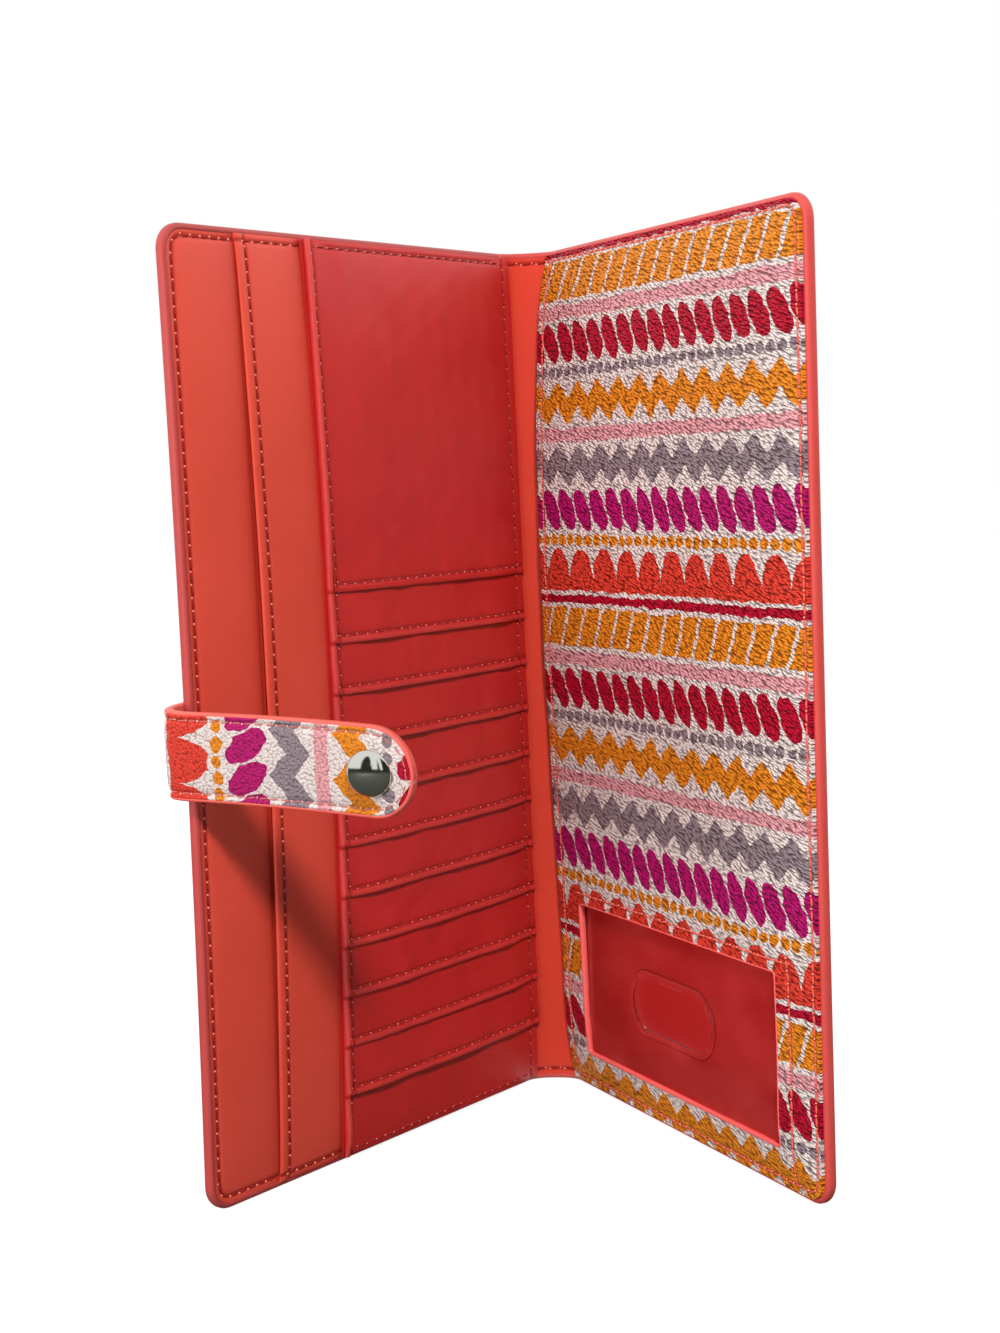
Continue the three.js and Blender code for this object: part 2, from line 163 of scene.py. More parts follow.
# A dark card laid and curved up round the front, which only mirror-like surfaces see, gives metal its depth
CARD_REACH = 1.5
CARD_LEVEL = 0.0005
CARD_TOPS = ((170, 0.12), (226, 0.14), (228, 0.7), (233, 1.1), (241, 1.2), (247, 0.8), (251, 0.14))
CARD_TOPS += ((265, 0.14), (268, 1.2), (271, 0.14), (282, 0.14), (286, 1.6), (300, 1.2))
CARD_TOPS += ((330, 0.5), (370, 0.4))
bend = range(170, 371, 2)
tops = np.interp(bend, *zip(*CARD_TOPS))
rays = [(math.cos(math.radians(angle)), math.sin(math.radians(angle))) for angle in bend]
card_mesh = bpy.data.meshes.new("dark_card")
card_mesh.from_pydata(
    [
        (reach * x, reach * y, level)
        for (x, y), top in zip(rays, tops)
        for reach, level in ((0.01, CARD_LEVEL), (CARD_REACH, CARD_LEVEL), (CARD_REACH, top))
    ],
    [],
    [(at, at + 1, at + 4, at + 3) for step in range(len(bend) - 1) for at in (3 * step, 3 * step + 1)],
)
card = bpy.data.objects.new("dark_card", card_mesh)
scene.collection.objects.link(card)
card_black, _, _ = started("dark_card", 1, (0.05, 0.052, 0.045, 1))
card_mesh.materials.append(card_black)
card.visible_camera = False
card.visible_diffuse = False
card.visible_shadow = False


# Stiffening boards: a sheet of grey board in each cover, glued between the printed skin and the lining.
# The back board has taken a bow towards the inside, and every layer of that cover follows it.
CORNER = 7
SPINE_REACH = 4
BACK_BOW = 3.0
BOW_WIDEST = 82
UP = np.array((0, 0, 1))


class Cover:
    """A cover's own directions, in millimetres: along from its fold line, up, and in to the wallet."""

    def __init__(self, name, side, bow):
        joint = next(joint for joint in frame["joints"] if joint["name"] == f"spine_fold_{name}")
        half = math.radians(-joint["range_deg"][0])
        self.name, self.body = name, f"{name}_cover"
        self.fold = np.array(joint["pos_m"]) / MM
        self.along = np.array((side * math.sin(half), -math.cos(half), 0))
        self.inward = np.array((-side * math.cos(half), -math.sin(half), 0))
        self.bow = bow
        _, (self.width, self.height, _) = self.extent(f"{name}_edge_binding")

    def flat(self, u, z, depth):
        u, z, depth = (np.asarray(value, float)[..., None] for value in (u, z, depth))
        return (self.fold + u * self.along + z * UP + depth * self.inward) * MM

    def place(self, u, z, depth):
        return self.flat(u, z, depth + self.bow(u, z))

    def extent(self, node):
        """Lowest and highest (along, up, depth) of a solid of the frame, in this cover's directions."""
        corners = np.array([vertex.co for vertex in nodes[node].data.vertices]) / MM - self.fold
        local = np.stack([corners @ axis for axis in (self.along, UP, self.inward)], 1)
        return local.min(0), local.max(0)

    def from_edge(self, u, z):
        """How far a place is in from the cover's rounded outline, which has no edge at the fold."""
        across = np.abs(u) - (self.width - CORNER)
        upright = np.abs(z - self.height / 2) - (self.height / 2 - CORNER)
        beyond = np.hypot(np.maximum(across, 0), np.maximum(upright, 0))
        return CORNER - beyond - np.minimum(np.maximum(across, upright), 0)

    def grid(self, inset, along, up):
        """Places within the outline drawn in by inset: rows and columns that close up at the corners."""
        u, z = np.meshgrid(along, up, indexing="ij")
        radius = CORNER - inset
        near = np.clip(np.minimum(z - inset, self.height - inset - z), 0, radius)
        limit = self.width - inset - radius + np.sqrt(radius**2 - (radius - near) ** 2)
        start = self.width - inset - 3 * radius
        share = np.maximum(u - start, 0) / (3 * radius)
        return np.where(u > start, start + share * (limit - start), u), z

    def outline(self, inset):
        """Places at an even inset, from SPINE_REACH at the foot, round the free side, to the head."""
        radius = CORNER - inset
        flat_end = self.width - CORNER
        foot = np.linspace(SPINE_REACH, flat_end, 36)
        side = np.linspace(CORNER, self.height - CORNER, 72)
        turn = np.linspace(0, math.pi / 2, 13)[1:-1]
        u = [foot, flat_end + radius * np.sin(turn), 0 * side + self.width - inset]
        u += [flat_end + radius * np.cos(turn), foot[::-1]]
        z = [0 * foot + inset, CORNER - radius * np.cos(turn), side]
        z += [self.height - CORNER + radius * np.sin(turn), 0 * foot + self.height - inset]
        return np.concatenate(u), np.concatenate(z)


def back_bow(u, z):
    across = np.clip(u / BOW_WIDEST, 0, 2)
    upright = np.clip(z / back.height, 0, 1)
    return BACK_BOW * across * (2 - across) * 4 * upright * (1 - upright)


back = Cover("back", -1, back_bow)
front = Cover("front", 1, lambda u, z: 0 * u)
HEIGHT = back.height


def spread(start, stop, step, roll=0.35, fine=()):
    """Places from start to stop about a step apart, closer at both rolled ends and across fine places."""
    ends = roll * np.array((0, 0.08, 0.3, 0.6, 1))
    groups = [np.linspace(start, stop, max(2, round((stop - start) / step) + 1)), start + ends, stop - ends]
    groups += [middle + np.linspace(-1.5, 1.5, 11) for middle in fine]
    places = np.sort(np.concatenate(groups))
    places = places[(places >= start) & (places <= stop)]
    places = places[np.append(True, np.diff(places) > 0.03)]
    places[-1] = stop
    return places


def rolled(distance, roll):
    """How far a face falls away at a rounded edge, by its distance in from that edge."""
    share = 1 - np.clip(distance / roll, 0, 1)
    return roll * (1 - np.sqrt(np.maximum(1 - share**2, 0)))


def mesh_piece(name, points, faces, material, texture=None, seam=None, rims=0):
    """A closed mesh piece with its faces turned out, and its own flat map in millimetres."""
    mesh = bpy.data.meshes.new(name)
    mesh.from_pydata(points.reshape(-1, 3).tolist(), [], [list(face) for face in faces])
    tidy = bmesh.new()
    tidy.from_mesh(mesh)
    bmesh.ops.recalc_face_normals(tidy, faces=tidy.faces)
    tidy.to_mesh(mesh)
    tidy.free()
    first_wall = len(mesh.polygons) - rims
    mesh.polygons.foreach_set("use_smooth", np.arange(len(mesh.polygons)) < first_wall)
    rim_edges = {tuple(key) for face in mesh.polygons[first_wall:] for key in face.edge_keys}
    mesh.edges.foreach_set("use_edge_sharp", [tuple(edge.key) in rim_edges for edge in mesh.edges])
    if texture is not None:
        corner = np.zeros(len(mesh.loops), int)
        mesh.loops.foreach_get("vertex_index", corner)
        mesh.uv_layers.new(name="cloth").data.foreach_set("uv", texture.reshape(-1, 2)[corner].ravel())
    # The seam value is painted shading for the material to read: mostly painted shade above 0 and painted
    # highlight below 0.
    if seam is not None:
        mesh.attributes.new("seam", "FLOAT", "POINT").data.foreach_set("value", seam.ravel())
    mesh.materials.append(material)
    piece = bpy.data.objects.new(name, mesh)
    scene.collection.objects.link(piece)
    return piece


def sheet_piece(
    name, place, u, z, face, behind, material, seam=0, shift=0, way=1, opening=None, ring=False
):
    """A closed sheet on a grid of places: face and behind are the depths of its two sides."""
    face, behind = (np.broadcast_to(depth, u.shape) for depth in (face, behind))
    points = np.stack([place(u, z, face), place(u, z, behind)])
    index = np.arange(u.size).reshape(u.shape)
    if ring:
        index = np.concatenate([index, index[:1]])
    quads = np.stack([index[:-1, :-1], index[1:, :-1], index[1:, 1:], index[:-1, 1:]], -1).reshape(-1, 4)
    if opening is not None:
        quads = quads[~opening.ravel()]
    sides = np.stack([quads, np.roll(quads, -1, axis=1)], -1).reshape(-1, 2)
    rim = sides[~np.isin(sides[:, 0] * u.size + sides[:, 1], sides[:, 1] * u.size + sides[:, 0])]
    walls = np.stack([rim[:, 1], rim[:, 0], rim[:, 0] + u.size, rim[:, 1] + u.size], -1)
    faces = np.concatenate([quads, quads[:, ::-1] + u.size, walls])
    texture = np.stack([shift + way * u, z], -1)
    # Painted shading from seam, kept on the seen side of the sheet only.
    painted_shading = seam + 0 * u
    used, faces = np.unique(faces, return_inverse=True)
    return mesh_piece(
        name,
        points.reshape(-1, 3)[used],
        faces.reshape(-1, 4),
        material,
        np.stack([texture, texture]).reshape(-1, 2)[used],
        np.stack([painted_shading, 0 * painted_shading]).ravel()[used],
        len(walls),
    )


def sewn_in(piece, body, slot, *replaced):
    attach(piece, body)
    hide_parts(*replaced)


class Field:
    """A number that changes over a surface, worked out by Math nodes in one tree."""

    def __init__(self, tree, socket):
        self.tree, self.socket = tree, socket

    def math(self, operation, *others):
        values = [value.socket if isinstance(value, Field) else value for value in (self, *others)]
        node = add_node(self.tree, "ShaderNodeMath", dict(enumerate(values)), operation=operation)
        return Field(self.tree, node.outputs[0])

    def __add__(self, other):
        return self.math("ADD", other)

    def __sub__(self, other):
        return self.math("SUBTRACT", other)

    def __mul__(self, other):
        return self.math("MULTIPLY", other)

    def __truediv__(self, other):
        return self.math("DIVIDE", other)

    def __lt__(self, other):
        return self.math("LESS_THAN", other)

    def __abs__(self):
        return self.math("ABSOLUTE")


def srgb(red, green, blue):
    """A colour written as in a picture, from 0 to 255, as the light values that shaders take."""
    shares = np.array((red, green, blue)) / 255
    light = np.where(shares <= 0.04045, shares / 12.92, ((shares + 0.055) / 1.055) ** 2.4)
    return (*light.tolist(), 1)


def noise_field(tree, place, scale, detail=2, roughness=0.5):
    values = {"Vector": place, "Scale": scale, "Detail": detail, "Roughness": roughness}
    return Field(tree, add_node(tree, "ShaderNodeTexNoise", values).outputs[0])


def ramp(tree, share, low, high, blend="MIX"):
    """A colour that goes from low to high with a share from 0 to 1, or is multiplied by high."""
    values = {0: share.socket, 6: low, 7: high}
    return add_node(tree, "ShaderNodeMix", values, data_type="RGBA", blend_type=blend).outputs[2]


def bump(tree, height, depth, shader):
    relief = add_node(tree, "ShaderNodeBump", {"Distance": depth * MM, "Height": height.socket})
    tree.links.new(relief.outputs[0], shader.inputs["Normal"])


def cloth_map(tree):
    return add_node(tree, "ShaderNodeUVMap", {}, uv_map="cloth").outputs[0]


def solid_place(tree):
    return tree.nodes.new("ShaderNodeTexCoord").outputs["Object"]


grey_board, tree, shader = started("grey_board", 0.9)
flecks = noise_field(tree, solid_place(tree), 900, 4)
tree.links.new(ramp(tree, flecks, srgb(140, 130, 118), srgb(186, 176, 163)), shader.inputs["Base Color"])
bump(tree, flecks, 0.05, shader)

low, high = back.extent("back_board")
u, z = back.grid(low[1], spread(SPINE_REACH, high[0], 8), spread(low[1], high[1], 8))
board = sheet_piece("back_stiffener", back.place, u, z, high[2], low[2], grey_board)
sewn_in(board, "back_cover", "stiffener", "back_board")
nodes["front_board"].data.materials.clear()
nodes["front_board"].data.materials.append(grey_board)


# Outer skins: coated canvas with a pebble grain and a printed pattern of bands, glued over the boards and
# sewn through near the edge. The spine's share of it is soft, and makes a smooth turn between both covers.
STITCH_INSET = 3.2
SHEET_INSET = 1.4
PRINT_REPEAT = 100
PRINT_AHEAD = 4000
GROUND = srgb(229, 217, 211)
MAGENTA, PINK, CRIMSON = srgb(178, 14, 104), srgb(226, 160, 165), srgb(178, 4, 42)
RED, ORANGE = srgb(220, 62, 46), srgb(228, 136, 28)
GREY = srgb(144, 130, 136)


def group_tree(name, inputs, outputs):
    """A shader node group, with the sockets that it is given and those that it gives."""
    kinds = {"Place": "NodeSocketVector", "Color": "NodeSocketColor"}
    tree = bpy.data.node_groups.new(name, "ShaderNodeTree")
    for way, labels in (("INPUT", inputs), ("OUTPUT", outputs)):
        for label in labels:
            kind = kinds.get(label, "NodeSocketFloat")
            tree.interface.new_socket(label, in_out=way, socket_type=kind)
    return tree, tree.nodes.new("NodeGroupInput").outputs, tree.nodes.new("NodeGroupOutput").inputs


def placed(tree, group, place, **values):
    """A node group set in a material, reading a place on the surface."""
    return add_node(tree, "ShaderNodeGroup", {"Place": place, **values}, node_tree=group).outputs


def swayed(tree, place, detail, reach):
    """A place on the surface, moved about by a slow noise."""
    wander = add_node(tree, "ShaderNodeTexNoise", {"Vector": place, "Scale": 0.3, "Detail": detail})
    moves = {0: wander.outputs["Color"], 1: (reach, reach, 0), 2: place}
    return add_node(tree, "ShaderNodeVectorMath", moves, operation="MULTIPLY_ADD").outputs[0]


# The pebble grain: close-set swellings drawn out along a slant, parted by creases
GRAIN_SLANT = math.radians(-17)
pebble_grain, given, gives = group_tree("pebble grain", ("Place", "Size", "Stretch"), ("Height", "Crease"))
drawn_out = add_node(pebble_grain, "ShaderNodeCombineXYZ", {"X": given["Stretch"], "Y": 1, "Z": 1})
slanted = add_node(
    pebble_grain,
    "ShaderNodeMapping",
    {
        "Vector": swayed(pebble_grain, given["Place"], 3, 1.3),
        "Rotation": (0, 0, GRAIN_SLANT),
        "Scale": drawn_out.outputs[0],
    },
    vector_type="TEXTURE",
)
shares = {0: slanted.outputs[0], 1: given["Size"]}
sized = add_node(pebble_grain, "ShaderNodeVectorMath", shares, operation="DIVIDE").outputs[0]
cells = add_node(
    pebble_grain,
    "ShaderNodeTexVoronoi",
    {"Vector": sized, "Smoothness": 0.3, "Scale": 1},
    voronoi_dimensions="2D",
    feature="SMOOTH_F1",
)
apart = Field(pebble_grain, cells.outputs["Distance"])
swell = apart * apart * -1.9 + 1
fine_skin = noise_field(pebble_grain, sized, 2.6, 3)
pebble_grain.links.new((swell + fine_skin * 0.25).socket, gives["Height"])
valley = ((apart - 0.3) * 2.6).math("MAXIMUM", 0).math("MINIMUM", 1)
pebble_grain.links.new(valley.socket, gives["Crease"])

# The print: bands of simple repeated motifs on a white ground, a little unevenly inked
banded_print, given, gives = group_tree("banded print", ("Place",), ("Color",))
uneven = swayed(banded_print, given["Place"], 2, 2.4)
parts = add_node(banded_print, "ShaderNodeSeparateXYZ", {0: uneven}).outputs
across = Field(banded_print, parts["X"]) + PRINT_AHEAD
upward = (Field(banded_print, parts["Y"]) + 4 * PRINT_REPEAT).math("MODULO", PRINT_REPEAT)


def repeated(x, pitch):
    """Runs from -1 to 1 over each pitch."""
    return (x / pitch).math("FRACT") * 2 - 1


def zigzag(x, v):
    return abs(v - (x.math("PINGPONG", 5.5) * (1 / 2.75) - 1) * 0.4) < 0.6


def leaves(x, v):
    return abs(repeated(x + v * 2.6, 8.2)) < (v * v * -1 + 1).math("POWER", 0.5) * 0.93


def dashes(x, v):
    return (abs(repeated(x - v * 2.4, 8.6)) < 0.84) * (abs(v) < 0.97)


def scallops(x, v):
    arch = repeated(x, 12)
    rise = v * 0.5 + 0.5
    return (arch * arch + rise * rise < 1.08) * (abs(v) < 1)


def beads(x, v):
    bead = repeated(x, 4.4)
    return bead * bead * 1.3 + v * v < 0.95


def stripe(x, v):
    return abs(v) < 0.95


BANDS = (
    (0, 12.5, zigzag, ORANGE),
    (13.6, 3, beads, GREY),
    (17.6, 11.8, leaves, CRIMSON),
    (30.4, 4, stripe, PINK),
    (35.8, 11.4, dashes, ORANGE),
    (48.4, 2.6, stripe, CRIMSON),
    (52.2, 11.8, scallops, RED),
    (65.2, 3.2, beads, ORANGE),
    (69.4, 12, leaves, MAGENTA),
    (82.2, 12, zigzag, GREY),
    (95, 4, stripe, PINK),
)
colour = GROUND
for foot, tall, motif, ink in BANDS:
    v = (upward - (foot + tall / 2)) * (2 / tall)
    colour = ramp(banded_print, motif(across, v), colour, ink)
patchy = noise_field(banded_print, given["Place"], 0.55, 3, 0.6).math("POWER", 1.5)
colour = ramp(banded_print, patchy, colour, (0.8, 0.78, 0.78, 1), "MULTIPLY")
banded_print.links.new(colour, gives["Color"])


def mesh_mask(tree, name="seam"):
    """A value stored along with the piece's own mesh; by default the seam value, which holds painted
    shading.
    """
    return Field(tree, add_node(tree, "ShaderNodeAttribute", {}, attribute_name=name).outputs["Fac"])


def printed(name, turned=False):
    """Printed canvas, with painted shade in grain creases and seams; turned sets the bands across a strap,
    with a rounder, shallower grain and painted shade over all.
    """
    material, tree, shader = started(name, 0.52)
    place = cloth_map(tree)
    size, stretch, relief = 0.66, 2.8, 0.9
    if turned:
        size, stretch, relief = 0.72, 1.1, 0.22
        quarter = {"Vector": place, "Rotation": (0, 0, math.pi / 2)}
        place = add_node(tree, "ShaderNodeMapping", quarter).outputs[0]
    ink = placed(tree, banded_print, place)["Color"]
    grain = placed(tree, pebble_grain, place, Size=size, Stretch=stretch)
    # Painted shade: the grain's creases and the seam value darken the ink.
    shade = Field(tree, grain["Crease"])
    # On the strap an even painted shade darkens the whole print, besides its grain creases.
    depth = shade * 0.24 + 0.42 if turned else shade * 0.6
    depth = depth.math("MAXIMUM", mesh_mask(tree) * 0.6)
    colour = ramp(tree, depth, ink, (0.36, 0.3, 0.3, 1), "MULTIPLY")
    tree.links.new(colour, shader.inputs["Base Color"])
    tree.links.new((shade * 0.2 + 0.45).socket, shader.inputs["Roughness"])
    bump(tree, Field(tree, grain["Height"]), relief, shader)
    return material


canvas = printed("printed_canvas")


def nearness(distance, wide=0.5):
    """1 on a line such as a seam, falling off smoothly to either side of it."""
    return np.exp(-((distance / wide) ** 2))


def stitch_dip(distance, deep=0.35, wide=0.65):
    return -deep * nearness(distance, wide)


def end_seam(z):
    """Distance in from the line of stitches at the head or the foot."""
    return np.minimum(z, HEIGHT - z) - STITCH_INSET


def full_height(step):
    """Heights on a sheet from foot to head, closer together across the seam at each end."""
    return spread(SHEET_INSET, HEIGHT - SHEET_INSET, step, fine=(STITCH_INSET, HEIGHT - STITCH_INSET))


def stitch_maker():
    """Geometry Nodes that lay one plump stitch of thread at each pitch along the lines of a mesh."""
    tree = bpy.data.node_groups.new("stitches", "GeometryNodeTree")
    tree.interface.new_socket("Geometry", in_out="OUTPUT", socket_type="NodeSocketGeometry")
    kinds = {"Lines": "Geometry", **dict.fromkeys(("Pitch", "Length", "Width", "Slant"), "Float")}
    for label, kind in (*kinds.items(), ("Thread", "Material")):
        tree.interface.new_socket(label, in_out="INPUT", socket_type=f"NodeSocket{kind}")
    given = tree.nodes.new("NodeGroupInput").outputs

    def add(kind, inputs, **settings):
        return add_node(tree, kind, inputs, **settings).outputs[0]

    line = add("GeometryNodeMeshToCurve", {"Mesh": given["Lines"]})
    holes = add("GeometryNodeResampleCurve", {"Curve": line, "Length": given["Pitch"]}, mode="LENGTH")
    ball = add("GeometryNodeMeshUVSphere", {"Segments": 8, "Rings": 6, "Radius": 0.5})
    size = add("ShaderNodeCombineXYZ", {"X": given["Length"], "Y": given["Width"], "Z": given["Width"]})
    lying = add("GeometryNodeTransform", {"Geometry": ball, "Scale": size})
    marked = add("GeometryNodeStoreNamedAttribute", {"Geometry": ball, "Name": "tip", "Value": 1})
    half_pitch = add("ShaderNodeMath", {0: given["Pitch"], 1: 0.5}, operation="MULTIPLY")
    hole = add("ShaderNodeCombineXYZ", {"X": half_pitch})
    tip_size = add("ShaderNodeCombineXYZ", dict.fromkeys("XYZ", given["Width"]))
    tip = add("GeometryNodeTransform", {"Geometry": marked, "Translation": hole, "Scale": tip_size})
    stitch = add_node(tree, "GeometryNodeJoinGeometry", {0: lying})
    tree.links.new(tip, stitch.inputs[0])
    tangent = add("GeometryNodeInputTangent", {})
    heading = add("FunctionNodeAlignRotationToVector", {"Vector": tangent}, axis="X")
    outward = add("GeometryNodeInputNamedAttribute", {"Name": "seam_normal"}, data_type="FLOAT_VECTOR")
    facing = {"Rotation": heading, "Vector": outward}
    upright = add("FunctionNodeAlignRotationToVector", facing, axis="Z", pivot_axis="X")
    uneven = add_node(tree, "FunctionNodeRandomValue", {2: -0.09, 3: 0.09, "Seed": 11}, data_type="FLOAT")
    lean = add("ShaderNodeMath", {0: given["Slant"], 1: uneven.outputs[1]})
    leaning = add("FunctionNodeEulerToRotation", {0: add("ShaderNodeCombineXYZ", {"Z": lean})})
    set_over = add("FunctionNodeRotateRotation", {0: upright, 1: leaning}, rotation_space="LOCAL")
    settled = {"Points": holes, "Instance": stitch.outputs[0], "Rotation": set_over}
    real = add("GeometryNodeRealizeInstances", {0: add("GeometryNodeInstanceOnPoints", settled)})
    smooth = add("GeometryNodeSetShadeSmooth", {0: real})
    coloured = add("GeometryNodeSetMaterial", {"Geometry": smooth, "Material": given["Thread"]})
    add_node(tree, "NodeGroupOutput", {0: coloured})
    return tree


STITCHES = stitch_maker()


def sewing_thread(name, dark, light, tip_highlight):
    """Thread of one colour, with a painted highlight on the tip where it comes up out of each hole."""
    material, tree, shader = started(name, 0.62)
    strands = noise_field(tree, solid_place(tree), 2600, 2)
    colour = ramp(tree, strands, srgb(*dark), srgb(*light))
    colour = ramp(tree, mesh_mask(tree, "tip"), colour, srgb(*tip_highlight))
    tree.links.new(colour, shader.inputs["Base Color"])
    bump(tree, strands, 0.08, shader)
    return material


coral_thread = sewing_thread("coral_thread", (186, 68, 56), (214, 98, 82), (232, 124, 106))
cloth_thread = sewing_thread("cloth_thread", (140, 24, 22), (180, 50, 46), (232, 130, 116))
# A darker copy of the coral thread: painted shade of the groove that it lies in.
painted_shade_thread = sewing_thread("painted_shade_thread", (122, 18, 14), (156, 36, 28), (238, 126, 108))


def sew(name, lines, pitch=3.25, length=2.55, width=0.66, slant=0.1, thread=painted_shade_thread):
    """Stitches along lines, each a row of places in metres with the way the surface faces there."""
    places, joins, facing = [], [], []
    for line, outward in lines:
        first = len(places)
        places += line.tolist()
        facing += np.broadcast_to(outward, line.shape).tolist()
        joins += [(first + step, first + step + 1) for step in range(len(line) - 1)]
    mesh = bpy.data.meshes.new(name)
    mesh.from_pydata(places, joins, [])
    mesh.attributes.new("seam_normal", "FLOAT_VECTOR", "POINT").data.foreach_set(
        "vector", np.ravel(facing)
    )
    row = bpy.data.objects.new(name, mesh)
    scene.collection.objects.link(row)
    machine = row.modifiers.new("stitches", "NODES")
    machine.node_group = STITCHES
    settings = {"Pitch": pitch * MM, "Length": length * MM, "Width": width * MM}
    settings |= {"Slant": slant, "Thread": thread}
    for socket in STITCHES.interface.items_tree:
        if socket.name in settings:
            machine[socket.identifier] = settings[socket.name]
    graph = bpy.context.evaluated_depsgraph_get()
    sewn = bpy.data.meshes.new_from_object(row.evaluated_get(graph), depsgraph=graph)
    row.modifiers.clear()
    row.data = sewn
    return row


def sewn_on(row, body):
    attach(row, body)


SPINE_LENGTH = 10
SPINE_PULL = 1.05
PRINT_MIDDLE = 320
STITCH_SUNK = 0.2
FORWARD = np.array((0, -1, 0))


def cover_skin(cover, way):
    low, high = cover.extent(f"{cover.name}_outer_skin")
    along = spread(SPINE_REACH, cover.width - SHEET_INSET, 5, fine=(cover.width - STITCH_INSET,))
    u, z = cover.grid(SHEET_INSET, along, full_height(5))
    seam = cover.from_edge(u, z) - STITCH_INSET
    shade = nearness(seam)
    outside = low[2] - stitch_dip(seam)
    shift = PRINT_MIDDLE + way * (SPINE_LENGTH - SPINE_REACH)
    name = f"{cover.name}_skin"
    skin = sheet_piece(name, cover.place, u, z, outside, high[2], canvas, shade, shift, way)
    sewn_in(skin, cover.body, "printed_canvas", f"{cover.name}_outer_skin")
    line = cover.place(*cover.outline(STITCH_INSET), low[2] + STITCH_SUNK)
    sewn_on(sew(f"{name}_stitches", [(line, -cover.inward)]), cover.body)


cover_skin(back, -1)
cover_skin(front, 1)


def smooth_bend(t, start, leaving, end, arriving):
    """Places from start to end of a bend, drawn out by the pull in which it leaves and arrives."""
    return (
        (2 * t**3 - 3 * t**2 + 1) * start
        + (t**3 - 2 * t**2 + t) * leaving
        + (3 * t**2 - 2 * t**3) * end
        + (t**3 - t**2) * arriving
    )


class SpineHalf:
    """Half of the soft spine: a smooth turn to its middle from a cover, SPINE_REACH past the fold."""

    def __init__(self, cover):
        self.cover = cover
        self.start = cover.fold + SPINE_REACH * cover.along
        self.side = np.sign(cover.fold[0])
        pull = SPINE_PULL * np.hypot(*self.start[:2])
        self.leaving = -pull * cover.along
        self.arriving = np.array((-self.side * pull, 0, 0))

    def place(self, t, z, depth):
        t, z, depth = (np.asarray(value, float)[..., None] for value in (t, z, depth))
        point = smooth_bend(t, self.start, self.leaving, 0, self.arriving)
        heading = (
            (6 * t**2 - 6 * t) * self.start
            + (3 * t**2 - 4 * t + 1) * self.leaving
            + (3 * t**2 - 2 * t) * self.arriving
        )
        heading = heading / np.linalg.norm(heading, axis=-1, keepdims=True)
        inside = np.cross(heading, UP) * -self.side
        return (point + inside * depth + z * UP) * MM

    def soft(self, piece):
        """Bakes a finished piece's placing into its mesh."""
        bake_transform(piece)


halves = (SpineHalf(back), SpineHalf(front))


def spine_sheet(name, depths, material, replaced, sewn=True):
    """A soft layer of the spine, in two halves: depths are those of its seen side and of the other."""
    seen, behind = depths
    out = np.sign(seen - behind)
    t, z = np.meshgrid(np.linspace(0, 1, 15), full_height(6), indexing="ij")
    face = seen + out * stitch_dip(end_seam(z)) * sewn
    shade = nearness(end_seam(z)) * sewn
    for half in halves:
        side = half.cover.name
        way = half.side * SPINE_LENGTH
        shift = PRINT_MIDDLE + way
        piece = sheet_piece(f"{name}_{side}", half.place, t, z, face, behind, material, shade, shift, -way)
        half.soft(piece)
        if side == "back":
            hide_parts(replaced)
        if sewn:
            steps = np.linspace(0, 1, 9)
            levels = (STITCH_INSET, HEIGHT - STITCH_INSET)
            rows = [half.place(steps, level, seen - out * STITCH_SUNK) for level in levels]
            stitches = sew(f"{name}_{side}_stitches", [(row, out * FORWARD) for row in rows])
            half.soft(stitches)


spine_sheet("spine_skin", (-2.05, -1.35), canvas, "spine_outer_skin")


# Spine interlining: a strip of soft white fleece glued between the spine's skin and lining, which gives
# the fold its round shape and keeps it from creasing.
fleece, tree, shader = started("white_fleece", 0.95)
fluff = noise_field(tree, cloth_map(tree), 1.4, 4, 0.7)
tree.links.new(ramp(tree, fluff, srgb(205, 200, 194), srgb(232, 229, 224)), shader.inputs["Base Color"])
bump(tree, fluff, 0.1, shader)
spine_sheet("spine_fleece", (-0.2, -1.0), fleece, "spine_interlining", sewn=False)


# Linings: smooth coral leatherette glued to the boards and the fleece inside, and sewn down all round
# together with the edge. The spine's share makes a smooth turn between both covers.
LINING_PUFF = 0.3

leather_grain, given, gives = group_tree("leather grain", ("Place",), ("Height", "Mottle"))
spread_out = {"Vector": given["Place"], "Scale": 1.9}
pores = add_node(leather_grain, "ShaderNodeTexVoronoi", spread_out, voronoi_dimensions="2D").outputs[0]
creasing = noise_field(leather_grain, given["Place"], 1.1, 4, 0.6)
slow = noise_field(leather_grain, given["Place"], 0.035, 3, 0.55)
leather_grain.links.new((Field(leather_grain, pores) * 0.5 + creasing).socket, gives["Height"])
leather_grain.links.new((slow * 0.8 + creasing * 0.2).socket, gives["Mottle"])


def leatherette(name, dark, light, roughness, relief):
    """Smooth coated leatherette, mottled between two colours, with painted shade where its seam value is
    high.
    """
    material, tree, shader = started(name, roughness)
    shader.inputs["Specular IOR Level"].default_value = 0.7
    skin = placed(tree, leather_grain, cloth_map(tree))
    mottle = Field(tree, skin["Mottle"])
    colour = ramp(tree, mottle, srgb(*dark), srgb(*light))
    # Painted shade: the seam value darkens and reddens the colour in stitch grooves and beside raised
    # edges.
    colour = ramp(tree, mesh_mask(tree) * 0.9, colour, (0.42, 0.07, 0.06, 1), "MULTIPLY")
    tree.links.new(colour, shader.inputs["Base Color"])
    tree.links.new((mottle * 0.24 + (roughness - 0.12)).socket, shader.inputs["Roughness"])
    bump(tree, Field(tree, skin["Height"]), relief, shader)
    return material


coral = leatherette("coral_leatherette", (193, 61, 43), (208, 73, 56), 0.5, 0.05)


